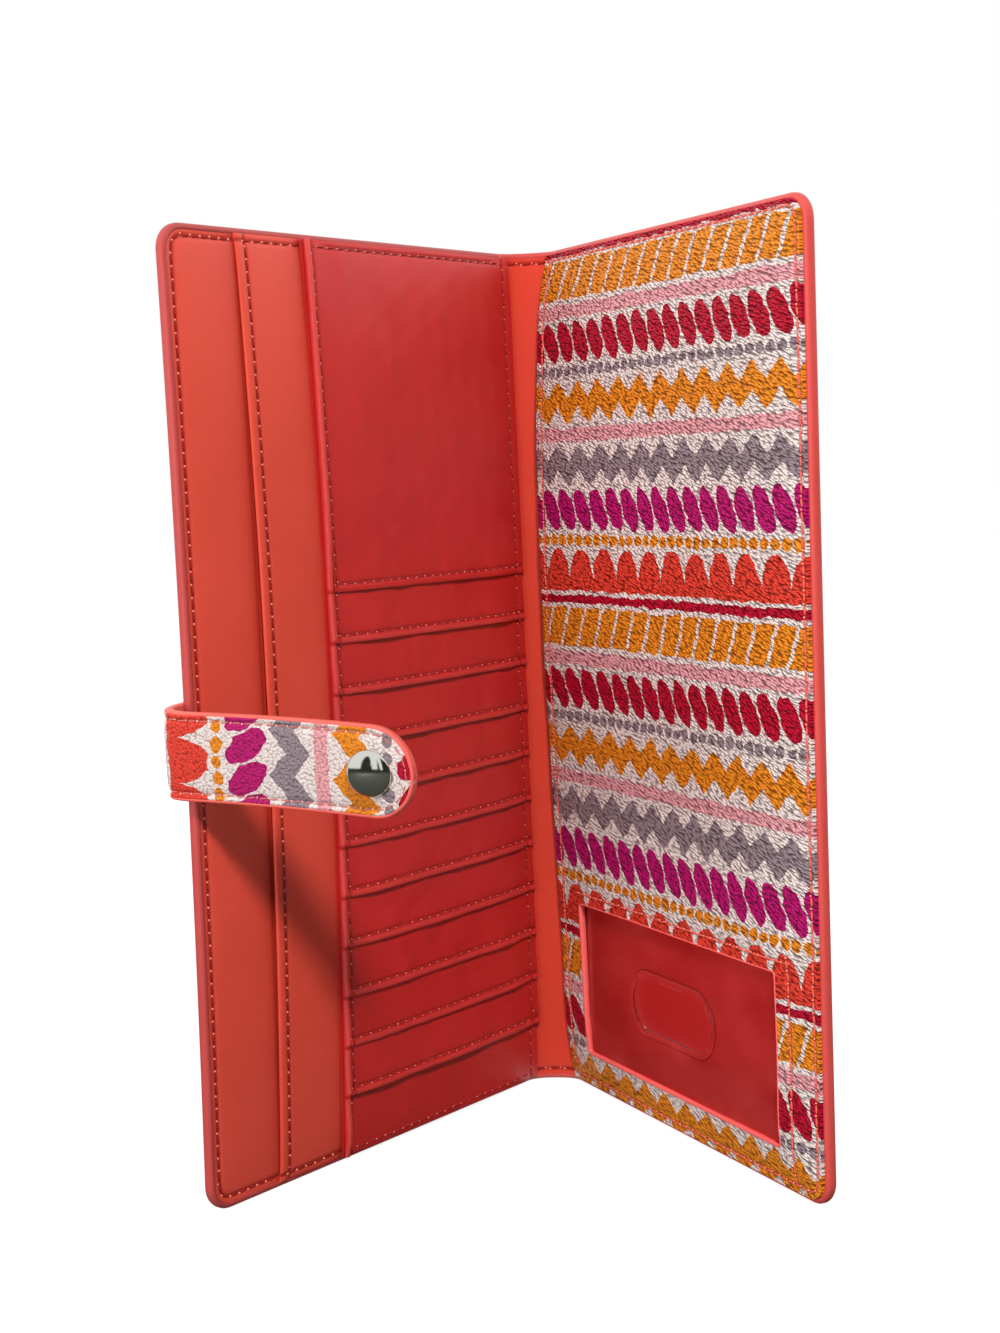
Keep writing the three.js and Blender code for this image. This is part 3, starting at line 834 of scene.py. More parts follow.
def row_on(cover, face, u, z, proud=0.1):
    """A line of stitches on a cover, at the depth that a face has there."""
    u, z = np.broadcast_arrays(np.asarray(u, float), np.asarray(z, float))
    return cover.place(u, z, face(u, z) + proud), cover.inward


def lap_shade(distance):
    """Depth of the soft shadow on a panel, by the distance from the raised edge of the next panel."""
    distance = np.abs(distance)
    return 0.6 * np.exp(-distance / 1.1) + 0.24 * np.exp(-distance / 5)


def cover_lining(cover, seen_from):
    """Lays a cover's lining, shaded beside the next panel's edge, and gives its seam in view."""
    low, high = cover.extent(f"{cover.name}_lining")
    along = spread(SPINE_REACH, cover.width - SHEET_INSET, 2, fine=(cover.width - STITCH_INSET, seen_from))
    u, z = cover.grid(SHEET_INSET, along, full_height(4))

    def face(u, z):
        seam = cover.from_edge(u, z) - STITCH_INSET
        return high[2] + LINING_PUFF * (1 - np.exp(-np.maximum(seam, 0) / 2.5)) + stitch_dip(seam)

    shade = np.maximum(nearness(cover.from_edge(u, z) - STITCH_INSET), lap_shade(u - seen_from))
    name = f"{cover.name}_cover_lining"
    lining = sheet_piece(name, cover.place, u, z, face(u, z), low[2], coral, shade)
    sewn_in(lining, cover.body, "coral_leatherette", f"{cover.name}_lining")
    u, z = cover.outline(STITCH_INSET)
    seen = u > seen_from + 1
    return [row_on(cover, face, u[seen], z[seen])]


TICKET_OVER = 1.4
TICKET_EDGE = back.extent("ticket_pocket_panel")[1][0] + TICKET_OVER
back_rows = cover_lining(back, TICKET_EDGE)
cover_lining(front, front.width)
sewn_on(sew("back_lining_stitches", back_rows), "back_cover")
# The spine lining is a darker, redder copy of the coral: painted shade in the fold of the spine.
shaded_spine_coral = leatherette("spine_leatherette", (186, 47, 29), (202, 58, 39), 0.55, 0.05)
spine_sheet("spine_lining", (0.85, 0.2), shaded_spine_coral, "spine_lining")


# Edge bindings: the coral leatherette turned round the raw edges of the boards, a soft rounded welt along
# the free sides of each cover. A short length closes the spine at its head and at its foot.
EDGE_SHAPE = ((1.9, 0.2), (1.75, 0.7), (1.4, 0.95), (0.9, 1), (0.45, 0.82), (0.14, 0.45), (0, 0), (0, -1))
EDGE_SHAPE += ((0.14, -1.5), (0.45, -1.85), (0.9, -2.05), (1.4, -2), (1.75, -1.75), (1.9, -1.2))
coral_edge = leatherette("coral_edge", (176, 58, 52), (193, 72, 66), 0.42, 0.03)
# The back cover's welt is a darker copy of the edge: painted shade, as less light reaches it.
shaded_edge = leatherette("coral_edge_painted_shade", (150, 50, 47), (167, 62, 59), 0.42, 0.03)


def tube_piece(name, points, material, ring=False):
    """A closed tube: points run round its outline first and along it second."""
    index = np.arange(points[..., 0].size).reshape(points.shape[:2])
    if ring:
        index = np.concatenate([index, index[:, :1]], 1)
    beside = np.roll(index, -1, axis=0)
    quads = np.stack([index[:, :-1], beside[:, :-1], beside[:, 1:], index[:, 1:]], -1).reshape(-1, 4)
    faces = quads.tolist()
    if not ring:
        faces += [index[:, 0].tolist(), index[::-1, -1].tolist()]
    steps = np.linalg.norm(np.diff(points, axis=1, prepend=points[:, :1]), axis=-1)
    girth = np.linalg.norm(np.diff(points, axis=0, prepend=points[:1]), axis=-1)
    texture = np.stack([np.cumsum(steps, 1), np.cumsum(girth, 0)], -1) / MM
    return mesh_piece(name, points, faces, material, texture, 0 * steps, 0 if ring else 2)


for cover, edge in ((back, shaded_edge), (front, coral_edge)):
    welt = [cover.place(*cover.outline(inset), depth) for inset, depth in EDGE_SHAPE]
    piece = tube_piece(f"{cover.name}_edge_welt", np.stack(welt), edge)
    sewn_in(piece, cover.body, "coral_edge", f"{cover.name}_edge_binding")
steps = np.linspace(0, 1, 15)
for half in halves:
    side = half.cover.name
    for end, level, way in (("foot", 0, 1), ("head", HEIGHT, -1)):
        welt = [half.place(steps, level + way * inset, depth) for inset, depth in EDGE_SHAPE]
        piece = tube_piece(f"spine_edge_{end}_{side}", np.stack(welt), coral_edge)
        half.soft(piece)
        if side == "back":
            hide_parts(f"spine_binding_{end}")


# Ticket pocket: a wide panel of the same coral leatherette, sewn in at the head, the foot and the spine,
# with a turned and top-stitched free edge that stands a little off the lining.
TICKET_SEAM = 3.3
TICKET_LIFT = 1.2
TICKET_THICK = 0.9
TICKET_ROLL = 0.45
PINCH = 0.7
HEM_TRIM = 1
HEM_EDGE = back.extent("card_panel_hem")[1][0]
low, high = back.extent("ticket_pocket_panel")
TICKET_FACE = high[2]


def pinched(z):
    """How far a panel is drawn down where its head and foot are sewn in."""
    return PINCH * np.exp(-(np.minimum(z, HEIGHT - z) - SHEET_INSET) / 2.2)


def ticket_face(u, z):
    inward = TICKET_EDGE - u
    rise = TICKET_LIFT * np.exp(-inward / 24) * np.sin(math.pi * z / HEIGHT)
    hem = 0.25 * nearness(inward - 1.3, 1.1)
    dips = stitch_dip(inward - TICKET_SEAM) + stitch_dip(end_seam(z))
    return TICKET_FACE + rise + hem + dips - pinched(z)


along = spread(low[0], TICKET_EDGE, 2, TICKET_ROLL, (TICKET_EDGE - TICKET_SEAM, HEM_EDGE))
u, z = np.meshgrid(along, full_height(4), indexing="ij")
fall = rolled(TICKET_EDGE - u, TICKET_ROLL)
shade = np.maximum(nearness(TICKET_EDGE - u - TICKET_SEAM), nearness(end_seam(z)))
shade = np.maximum(shade, lap_shade(u - HEM_EDGE + HEM_TRIM))
face = ticket_face(u, z)
behind = face - TICKET_THICK + fall * 0.6
ticket = sheet_piece("ticket_pocket", back.place, u, z, face - fall, behind, coral, shade)
sewn_in(ticket, "back_cover", "coral_leatherette", "ticket_pocket_panel")

upright = np.linspace(STITCH_INSET, HEIGHT - STITCH_INSET, 120)
level = np.linspace(HEM_EDGE + 1, TICKET_EDGE - TICKET_SEAM - 1, 12)
rows = [row_on(back, ticket_face, TICKET_EDGE - TICKET_SEAM, upright)]
rows += [row_on(back, ticket_face, level, end) for end in (STITCH_INSET, HEIGHT - STITCH_INSET)]
sewn_on(sew("ticket_pocket_stitches", rows), "back_cover")


# Card panel: red lining fabric sewn over the ticket pocket. A backing carries ten lapped strips below one
# tall pocket, each with a folded and stitched mouth, and a rolled hem holds their left ends.
MOUTH_SEAM = 2.3
CLOTH_THICK = 0.3
HEM_SEAM = 86.2
SPINE_SEAM = 4.4
CARD_POCKETS = ["front_card_pocket"] + [f"card_slot_{number:02d}" for number in range(1, 11)]

plain_weave, given, gives = group_tree("plain weave", ("Place", "Threads"), ("Height", "Mottle"))
parts = add_node(plain_weave, "ShaderNodeSeparateXYZ", {0: given["Place"]}).outputs
turns = Field(plain_weave, given["Threads"]) * (2 * math.pi)
warp = (Field(plain_weave, parts["X"]) * turns).math("SINE")
weft = (Field(plain_weave, parts["Y"]) * turns).math("SINE")
drawn_long = {"Vector": given["Place"], "Scale": (0.12, 1.6, 1)}
slub_place = add_node(plain_weave, "ShaderNodeMapping", drawn_long).outputs[0]
slubs = noise_field(plain_weave, slub_place, 1, 3, 0.6)
clouds = noise_field(plain_weave, given["Place"], 0.05, 3, 0.6)
plain_weave.links.new((warp * weft * 0.5 + slubs * 1.2).socket, gives["Height"])
plain_weave.links.new((clouds * 0.65 + slubs * 0.35).socket, gives["Mottle"])

red_cloth, tree, shader = started("red_lining_fabric", 0.55)
shader.inputs["Specular IOR Level"].default_value = 1
weave = placed(tree, plain_weave, cloth_map(tree), Threads=2.2)
mottle = Field(tree, weave["Mottle"])
colour = ramp(tree, mottle, srgb(163, 17, 17), srgb(188, 35, 33))
# Painted shade: the seam value darkens and reddens the cloth in stitch grooves and beside raised edges.
colour = ramp(tree, mesh_mask(tree) * 0.8, colour, (0.42, 0.1, 0.1, 1), "MULTIPLY")
# Painted highlight: below 0 the seam value makes folds paler.
fold_highlight = (mesh_mask(tree) * -1).math("MAXIMUM", 0)
colour = ramp(tree, fold_highlight * 0.6, colour, srgb(200, 76, 70))
tree.links.new(colour, shader.inputs["Base Color"])
tree.links.new((mottle * 0.2 + 0.42).socket, shader.inputs["Roughness"])
shader.inputs["Sheen Weight"].default_value = 0.04
shader.inputs["Sheen Roughness"].default_value = 0.4
shader.inputs["Sheen Tint"].default_value = srgb(255, 170, 160)
bump(tree, Field(tree, weave["Height"]), 0.02, shader)


def ripples(u, z, seed, length=24):
    """Slow unevenness of hand-sewn cloth, about -1 to 1: a few crossing waves with set phases."""
    chance = np.random.default_rng(seed)
    total = 0 * u
    for _ in range(5):
        way, stretch, phase = chance.uniform(0, (math.pi, 1, 2 * math.pi))
        wave = 2 * math.pi / (length * (0.6 + stretch))
        total = total + np.sin((u * math.cos(way) + z * math.sin(way)) * wave + phase)
    return total * 0.3


def held(u):
    """0 at the two upright seams of the card panel and 1 well away from them."""
    return 1 - nearness(np.minimum(np.abs(u - HEM_SEAM), np.abs(u - SPINE_SEAM)), 7)


def side_dips(u):
    return stitch_dip(u - HEM_SEAM, 0.3, 0.6) + stitch_dip(u - SPINE_SEAM, 0.3, 0.6)


def side_shade(u):
    return np.maximum(nearness(u - HEM_SEAM), nearness(u - SPINE_SEAM))


def pocket_shape(node, seed):
    """The face of one card pocket, which leans back from its mouth to its sewn-in head."""
    low, high = back.extent(node)
    mouth, head, behind = low[1], high[1], low[2] + CLOTH_THICK

    def face(u, z):
        lean = (z - mouth) / (head - mouth)
        depth = high[2] + (behind - high[2]) * lean
        hem = 0.28 * nearness(z - mouth - 1, 0.9) + stitch_dip(z - mouth - MOUTH_SEAM, 0.3, 0.55)
        gape = (0.55 + 0.4 * ripples(u, 0 * z, seed + 20, 32)) * np.exp(-(z - mouth) / 5) * held(u)
        swell = 0.5 * np.sin(math.pi * np.clip(lean, 0, 1)) * (head - mouth > 50)
        waves = 0.2 * ripples(u, z, seed) + 0.13 * ripples(u, z, seed + 50, 9)
        waves = waves + 0.07 * np.sin(u * 1.46 + seed) * nearness(z - mouth - MOUTH_SEAM, 1.8)
        return depth + hem + gape + side_dips(u) - 0.5 * (1 - held(u)) + (waves + swell) * held(u)

    return low, high, face


low, high = back.extent("card_panel_backing")
up = spread(SHEET_INSET, HEIGHT - SHEET_INSET, 3, fine=(STITCH_INSET,))
u, z = np.meshgrid(spread(low[0], high[0], 2.5, fine=(HEM_SEAM, SPINE_SEAM)), up, indexing="ij")
FOOT_POCKET = back.extent(CARD_POCKETS[-1])[0][1]
BACKING_FACE = high[2]


def backing_face(u, z):
    shown = 0.45 * (z < FOOT_POCKET + 6) * held(u)
    pucker = 0.5 * np.sin((u + 0.5 * z) * 1.2) * nearness(u - 28, 16)
    drawn = 1 + 0.5 * ripples(u, z, 4, 14) + pucker
    return BACKING_FACE + shown * drawn - pinched(z) * 0.6 + side_dips(u)


face = backing_face(u, z)
backing = sheet_piece("card_backing", back.place, u, z, face, face - CLOTH_THICK, red_cloth, side_shade(u))
sewn_in(backing, "back_cover", "red_fabric", "card_panel_backing")

rows = []
mouths = []
for seed, node in enumerate(CARD_POCKETS):
    low, high, face = pocket_shape(node, seed)
    mouths.append(low[1])
    along = spread(low[0], high[0], 1, fine=(HEM_SEAM, SPINE_SEAM))
    head = HEIGHT - SHEET_INSET if node == CARD_POCKETS[0] else high[1]
    up = spread(low[1], head, 1.6, 0.3, (low[1] + 1.5, HEIGHT - STITCH_INSET))
    u, z = np.meshgrid(along, up, indexing="ij")
    fold = rolled(z - low[1], 0.3)
    depth = face(u, z)
    # Painted shade along the mouth's stitches and side seams, and a painted highlight on the turned fold at
    # the mouth.
    mouth_shade = nearness(z - low[1] - MOUTH_SEAM, 0.45)
    turned = 0.5 * nearness(z - low[1] - 0.9, 0.8)
    painted_shading = np.maximum(side_shade(u), mouth_shade) - turned * (mouth_shade < 0.2)
    if node == CARD_POCKETS[0]:
        depth = depth - pinched(z) + stitch_dip(end_seam(z))
        painted_shading = np.maximum(painted_shading, nearness(end_seam(z)))
    behind = depth - CLOTH_THICK - 0.25 * nearness(z - low[1] - 1, 1) + fold * 0.6
    pocket = sheet_piece(f"{node}_cloth", back.place, u, z, depth - fold, behind, red_cloth, painted_shading)
    sewn_in(pocket, "back_cover", "red_fabric", node)
    tuple(((high - low) * MM)[:2])
    rows.append(row_on(back, face, np.linspace(SPINE_SEAM + 1, HEM_SEAM - 1, 60), low[1] + MOUTH_SEAM))

HEM_ROLL = 0.7
low, high = back.extent("card_panel_hem")
hem_end = high[0] - HEM_TRIM
up = spread(SHEET_INSET, HEIGHT - SHEET_INSET, 2, fine=mouths)
u, z = np.meshgrid(spread(low[0], hem_end, 0.3, HEM_ROLL), up, indexing="ij")
pitch = mouths[1] - mouths[2]
over_top = 0.5 * (z - mouths[0]) / (HEIGHT - mouths[0])
above = np.where(z > mouths[0], over_top, ((z - mouths[-1]) / pitch) % 1)
layers = 0.6 * np.minimum(1 - above, above * 9 + 0.1) + 0.12 * ripples(0 * u, z, 31, 6)
rounded = rolled(u - low[0], HEM_ROLL) + rolled(hem_end - u, HEM_ROLL)
face = high[2] - 0.35 + layers - rounded - pinched(z)
# Painted shade in a crease at each mouth, and a painted highlight over the rest of the hem.
painted_crease_shade = sum(nearness(z - mouth - 0.3, 0.5) for mouth in mouths)
shade = 1.5 * painted_crease_shade - 0.8
hem = sheet_piece("card_hem", back.place, u, z, face, low[2] - 0.3 + rounded * 0.2, red_cloth, shade)
sewn_in(hem, "back_cover", "red_fabric", "card_panel_hem")


def card_face(u, z):
    """The front of the whole card panel, through the pockets that show at each height."""
    total = backing_face(u, z)
    for seed, node in reversed(list(enumerate(CARD_POCKETS))):
        low, high, face = pocket_shape(node, seed)
        total = np.where(z > low[1], face(u, z), total)
    return total - np.where(z > mouths[0], pinched(z), 0)


for seam in (HEM_SEAM, SPINE_SEAM):
    rows.append(row_on(back, card_face, seam, upright))
level = np.linspace(SPINE_SEAM, HEM_SEAM, 60)
rows += [row_on(back, card_face, level, end) for end in (STITCH_INSET, HEIGHT - STITCH_INSET)]
stitches = sew("card_panel_stitches", rows, pitch=3.6, length=3.0, width=0.46, thread=cloth_thread)
sewn_on(stitches, "back_cover")


# Front pocket: printed canvas on a soft backing, sewn to the front cover on three sides and free along the
# spine, where its edge bulges. A window is cut in its foot, with a coral bead round the cut edge.
POCKET_BULGE = 3.3
POCKET_THICK = 1.2
POCKET_SHIFT = 60
WINDOW_SEAM = 3.2
WINDOW_LAP = 4
window_low, window_high = front.extent("id_window")
LEFT, RIGHT = window_low[0] + WINDOW_LAP, window_high[0] - WINDOW_LAP
FOOT, HEAD = window_low[1] + WINDOW_LAP, window_high[1] - WINDOW_LAP
SIDE_SEAM = RIGHT + 5.4
low, high = front.extent("front_pocket_panel")
FREE_EDGE, POCKET_FACE = low[0], high[2]


def pocket_seams(u, z):
    """Distances from the pocket's lines of stitches, without end where a line doesn't run."""
    return (
        front.from_edge(u, z) - STITCH_INSET,
        u - FREE_EDGE - STITCH_INSET,
        np.where(z < HEAD + WINDOW_SEAM, u - SIDE_SEAM, np.inf),
        np.where((u > LEFT - 3) & (u < SIDE_SEAM), z - HEAD - WINDOW_SEAM, np.inf),
    )


def pocket_face(u, z):
    edge = front.from_edge(u, z) - SHEET_INSET
    share = np.clip(z / HEIGHT, 0, 1)
    bulge = POCKET_BULGE * np.sin(math.pi * share**1.7) * nearness(u - FREE_EDGE, 30)
    pressed = 2.3 * np.exp(-((np.maximum(edge, 0) / 12) ** 1.2))
    dips = sum(stitch_dip(distance) for distance in pocket_seams(u, z))
    return POCKET_FACE + bulge - pressed + dips + 0.12 * ripples(u, z, 30, 40)


BEAD_ROOM = 0.4
SIDE_CUTS = np.array((LEFT - BEAD_ROOM, RIGHT + BEAD_ROOM))
END_CUTS = np.array((FOOT - BEAD_ROOM, HEAD + BEAD_ROOM))


def cut_at(places, cuts):
    """Places of a grid with the two cuts among them, and none of the others close to a cut."""
    return np.unique(np.append(places[np.abs(places[:, None] - cuts).min(1) > 0.2], cuts))


def between(places, cuts):
    middle = (places[:-1] + places[1:]) / 2
    return (middle > cuts[0]) & (middle < cuts[1])


edges = (FREE_EDGE + STITCH_INSET, front.width - STITCH_INSET, SIDE_SEAM)
along = cut_at(spread(FREE_EDGE, front.width - SHEET_INSET, 3, 0.5, edges), SIDE_CUTS)
edges = (STITCH_INSET, HEIGHT - STITCH_INSET, HEAD + WINDOW_SEAM)
up = cut_at(spread(SHEET_INSET, HEIGHT - SHEET_INSET, 3, 0.35, edges), END_CUTS)
u, z = front.grid(SHEET_INSET, along, up)
face = pocket_face(u, z)
fall = rolled(u - FREE_EDGE, 0.5)
panel = sheet_piece(
    "front_pocket",
    front.place,
    u,
    z,
    face - fall,
    face - POCKET_THICK + fall,
    canvas,
    np.max([nearness(distance) for distance in pocket_seams(u, z)], axis=0),
    POCKET_SHIFT,
    opening=between(along, SIDE_CUTS)[:, None] & between(up, END_CUTS),
)
sewn_in(panel, "front_cover", "printed_canvas", "front_pocket_panel")

side_line = np.linspace(STITCH_INSET + 1, HEAD + WINDOW_SEAM, 30)
head_line = np.linspace(LEFT - 2, SIDE_SEAM - 1, 50)
paths = [front.outline(STITCH_INSET), (FREE_EDGE + STITCH_INSET, upright)]
paths += [(SIDE_SEAM, side_line), (head_line, HEAD + WINDOW_SEAM)]
rows = [row_on(front, pocket_face, u, z) for u, z in paths]
sewn_on(sew("front_pocket_stitches", rows, thread=coral_thread), "front_cover")

BEAD_CORNER = 1.0
BEAD_SHAPE = ((1.05, -0.15), (0.8, 0.12), (0.4, 0.2), (0.05, 0.02))
BEAD_SHAPE += ((-0.1, -0.4), (-0.1, -1.6), (0.5, -1.9), (1.05, -1.2))
turn = np.linspace(0, math.pi / 2, 7)
loop, outs = [], []
for middle_u, middle_z, start in (
    (RIGHT - BEAD_CORNER, FOOT + BEAD_CORNER, -0.5),
    (RIGHT - BEAD_CORNER, HEAD - BEAD_CORNER, 0),
    (LEFT + BEAD_CORNER, HEAD - BEAD_CORNER, 0.5),
    (LEFT + BEAD_CORNER, FOOT + BEAD_CORNER, 1),
):
    angle = start * math.pi + turn
    way = np.stack([np.cos(angle), np.sin(angle)], 1)
    outs += way.tolist()
    loop += (np.array((middle_u, middle_z)) + BEAD_CORNER * way).tolist()


def filled(ring):
    """The points of a ring, with ten more set between each and the next."""
    return np.concatenate([np.linspace(ring[step - 1], ring[step], 12)[:-1] for step in range(len(ring))])


loop, outs = filled(loop), filled(outs)
slender = 1 - 0.55 * np.clip(outs.max(1, keepdims=True), 0, 1)
bead = []
for outward, lift in BEAD_SHAPE:
    u, z = (loop + outs * outward * slender).T
    bead.append(front.place(u, z, pocket_face(u, z) + lift))
bead_coral = leatherette("window_bead_coral", (216, 84, 80), (232, 102, 98), 0.42, 0.03)
bead = tube_piece("window_bead", np.stack(bead), bead_coral, ring=True)
sewn_on(bead, "front_cover")


# Identity window: a sheet of clear soft vinyl with a pressed thumb hole, laid under the cut in the pocket
# panel, over a backing of the red lining fabric.
# Painted shade, even over the window backing behind the vinyl and the thumb hole.
BACKING_SHADE = 0.5
low, high = front.extent("id_window_backing")
u, z = np.meshgrid(spread(low[0], high[0], 3), spread(low[1], high[1], 3), indexing="ij")


def window_rise(u, z):
    """How far vinyl and backing come forward in the opening, from where they are sewn under its edge."""
    inside = np.minimum(np.minimum(u - LEFT, RIGHT - u), np.minimum(z - FOOT, HEAD - z))
    return 0.45 + 0.5 * np.clip((z - FOOT) / 12, 0, 1) + 0.25 * np.clip((inside + 3) / 8, 0, 1)


face = high[2] + window_rise(u, z) + 0.08 * ripples(u, z, 61, 20)
behind = face - CLOTH_THICK
backing = sheet_piece("window_backing", front.place, u, z, face, behind, red_cloth, BACKING_SHADE)
sewn_in(backing, "front_cover", "red_fabric", "id_window_backing")

THUMB_WIDTH, THUMB_HEIGHT = 41.4, 15
THUMB_SHIFT = -1.7
RIM_REACH = 3.2
RIM_HEIGHT, RIM_MIDDLE, RIM_HALF = 0.6, 0.9, 1.1
# A thin painted dark line, painted shade, just outside the thumb hole's rim.
PAINTED_LINE_MIDDLE, PAINTED_LINE_WIDE = 2.15, 0.18
clear_vinyl, tree, shader = started("clear_vinyl", 0.1)
shader.inputs["Specular IOR Level"].default_value = 0.2
shader.inputs["Transmission Weight"].default_value = 1
shader.inputs["IOR"].default_value = 1.22
broad = {"Vector": cloth_map(tree), "Scale": (0.035, 0.055, 1)}
haze = noise_field(tree, add_node(tree, "ShaderNodeMapping", broad).outputs[0], 1, 2, 0.5)
tree.links.new((haze.math("POWER", 3) * 0.4 + 0.02).socket, shader.inputs["Roughness"])
# The vinyl's colour is painted light: a dark red tint as painted shade over the window, paler cloudy
# patches of painted reflection, clear on the rim band as a painted veil, and a thin dark line outside it as
# painted shade.
painted_reflection = ((haze - 0.3) * 2.2).math("MAXIMUM", 0).math("MINIMUM", 1)
painted_vinyl_tint = ramp(tree, painted_reflection, (0.76, 0.52, 0.5, 1), (1, 0.95, 0.93, 1))
painted_vinyl_tint = ramp(tree, mesh_mask(tree), painted_vinyl_tint, (1, 1, 1, 1))
painted_vinyl_tint = ramp(tree, mesh_mask(tree) * -1, painted_vinyl_tint, (0.3, 0.14, 0.14, 1))
tree.links.new(painted_vinyl_tint, shader.inputs["Base Color"])
bump(tree, haze, 0.12, shader)
rays = tree.nodes.new("ShaderNodeLightPath").outputs
unseen = Field(tree, rays["Is Shadow Ray"]).math("MAXIMUM", Field(tree, rays["Is Diffuse Ray"]))
passing = tree.nodes.new("ShaderNodeBsdfTransparent")
either = {0: unseen.socket, 1: shader.outputs[0], 2: passing.outputs[0]}
shadowless = add_node(tree, "ShaderNodeMixShader", either)
tree.links.new(shadowless.outputs[0], tree.nodes["Material Output"].inputs[0])

middle = (window_low + window_high) / 2 + np.array((THUMB_SHIFT, 0, 0))
right, left = window_high[0] - middle[0], middle[0] - window_low[0]
half_tall = (window_high - window_low)[1] / 2
corners = [math.atan2(up * half_tall, across) for up in (1, -1) for across in (right, -left)]
angles = np.linspace(-math.pi, math.pi, 161)[:-1]
angles = np.unique(np.append(angles, corners))
cosine, sine = np.cos(angles), np.sin(angles)
level_share, upright_share = (np.maximum(np.abs(part), 1e-9) for part in (cosine, sine))
outer = np.minimum(np.where(cosine > 0, right, left) / level_share, half_tall / upright_share)
radius, flat_half = THUMB_HEIGHT / 2, (THUMB_WIDTH - THUMB_HEIGHT) / 2
level_hit = radius / upright_share
round_hit = flat_half * np.abs(cosine) + np.sqrt(np.maximum(radius**2 - (flat_half * sine) ** 2, 0))
inner = np.where(level_hit * np.abs(cosine) <= flat_half, level_hit, round_hit)
ways = np.stack([cosine, sine])
brink = ways * inner
away = np.stack([np.sign(brink[0]) * np.maximum(np.abs(brink[0]) - flat_half, 0), brink[1]])
away /= np.linalg.norm(away, axis=0)
rim_rounds = brink[:, :, None] + away[:, :, None] * np.linspace(0, RIM_REACH, 33)
rest = ways * outer - rim_rounds[:, :, -1]
sheet_steps = np.linspace(0, 1, 14)[1:]
rounds = np.concatenate([rim_rounds, rim_rounds[:, :, -1:] + rest[:, :, None] * sheet_steps], 2)
u, z = middle[0] + rounds[0], middle[1] + rounds[1]
from_hole = np.hypot(np.maximum(np.abs(u - middle[0]) - flat_half, 0), z - middle[1]) - radius
rim = RIM_HEIGHT * np.sqrt(np.clip(1 - ((from_hole - RIM_MIDDLE) / RIM_HALF) ** 2, 0, 1))
rise = window_rise(u, z) + 0.14 * ripples(u, z, 71, 34)
# Its seam value: above 0 a painted veil on the rim band, below 0 the thin painted dark line.
vinyl = sheet_piece(
    "window_vinyl",
    front.place,
    u,
    z,
    window_high[2] + rise + rim,
    window_low[2] + rise,
    clear_vinyl,
    np.clip(rim / 0.3, 0, 1) - 1.5 * nearness(from_hole - PAINTED_LINE_MIDDLE, PAINTED_LINE_WIDE),
    ring=True,
)
sewn_in(vinyl, "front_cover", "clear_vinyl", "id_window")


# Closing strap: printed canvas sewn to a coral lining with a coral painted edge. It is sewn to the back
# cover's outer face, turns round the edge, and ends in a round tip with the snap.
STRAP_HALF = 11.5
STRAP_THICK = 2.4
STRAP_SEAM = 2.2
STRAP_FREE = 68
STRAP_DROOP = 2.6
STRAP_LEAN = math.tan(math.radians(13))
LEAN_WAY = (0.73, 0.68)
STRAP_FALL = 1.4
BEND_RADIUS = 5
BEND_PULL = 9
BEND_BEFORE, BEND_AFTER = 13, 2
FLAP_SOFT = 5
ANCHOR_START = back.extent("strap_anchor_outer")[0][0]
ANCHOR_DEPTH = -3.35
joints = {joint["name"]: np.array(joint["pos_m"]) / MM for joint in frame["joints"]}
STRAP_LEVEL = joints["strap_root"][2]
SWING = math.radians(100)
RISE = np.array((math.cos(SWING), math.sin(SWING)))
BEND_OUT = BEND_RADIUS * np.array((math.sin(SWING), 1 - math.cos(SWING)))
STRAIGHT_START = np.array((back.width, ANCHOR_DEPTH)) + BEND_OUT
flap = joints["strap_flap"] - back.fold
FLAP_PLACE = np.array((flap @ back.along, flap @ back.inward))

line_u = np.linspace(ANCHOR_START, back.width, 24)
anchor_line = np.stack([line_u, ANCHOR_DEPTH + back_bow(line_u, STRAP_LEVEL)], 1)
step = np.linspace(0, 1, 14)[1:, None]
heading = (anchor_line[-1] - anchor_line[-2]) / np.linalg.norm(anchor_line[-1] - anchor_line[-2])
bend_line = smooth_bend(step, anchor_line[-1], BEND_PULL * heading, STRAIGHT_START, BEND_PULL * RISE)
free_line = STRAIGHT_START + np.linspace(0, STRAP_FREE, 30)[1:, None] * RISE
strap_line = np.concatenate([anchor_line, bend_line, free_line])
strap_length = np.append(0, np.cumsum(np.linalg.norm(np.diff(strap_line, axis=0), axis=1)))
strap_heading = np.gradient(strap_line, strap_length, axis=0)
strap_heading /= np.linalg.norm(strap_heading, axis=1, keepdims=True)
STRAP_END = strap_length[-1]
FREE_START = STRAP_END - STRAP_FREE
FLAP_AT = FREE_START + np.linalg.norm(FLAP_PLACE - STRAIGHT_START)
SPLIT_AT = (FREE_START + FLAP_AT) / 2
SNAP_AT = STRAP_END - STRAP_HALF


def strap_place(s, w, depth):
    """A place on the strap: s along it from its sewn end, w up across it, depth towards its lining."""
    u, rise, turn_u, turn_rise = (
        np.interp(s, strap_length, values) for values in (*strap_line.T, *strap_heading.T)
    )
    free = np.clip((s - FREE_START) / STRAP_FREE, 0, 1)
    turned = np.clip((s - FREE_START + BEND_BEFORE) / (BEND_BEFORE + BEND_AFTER), 0, 1)
    lean = STRAP_LEAN * w * turned
    level = STRAP_LEVEL + w - STRAP_DROOP * free**2 + STRAP_FALL * (1 - turned)
    across, towards = (way * lean for way in LEAN_WAY)
    return back.flat(u - turn_rise * depth + across, level, rise + turn_u * depth + towards)


def strap_facing(s):
    """The way the strap's printed side faces along its middle."""
    along = strap_place(s + 0.1, 0, 0) - strap_place(s - 0.1, 0, 0)
    across = strap_place(s, 0.1, 0) - strap_place(s, -0.1, 0)
    facing = np.cross(along, across)
    return facing / np.linalg.norm(facing, axis=-1, keepdims=True)


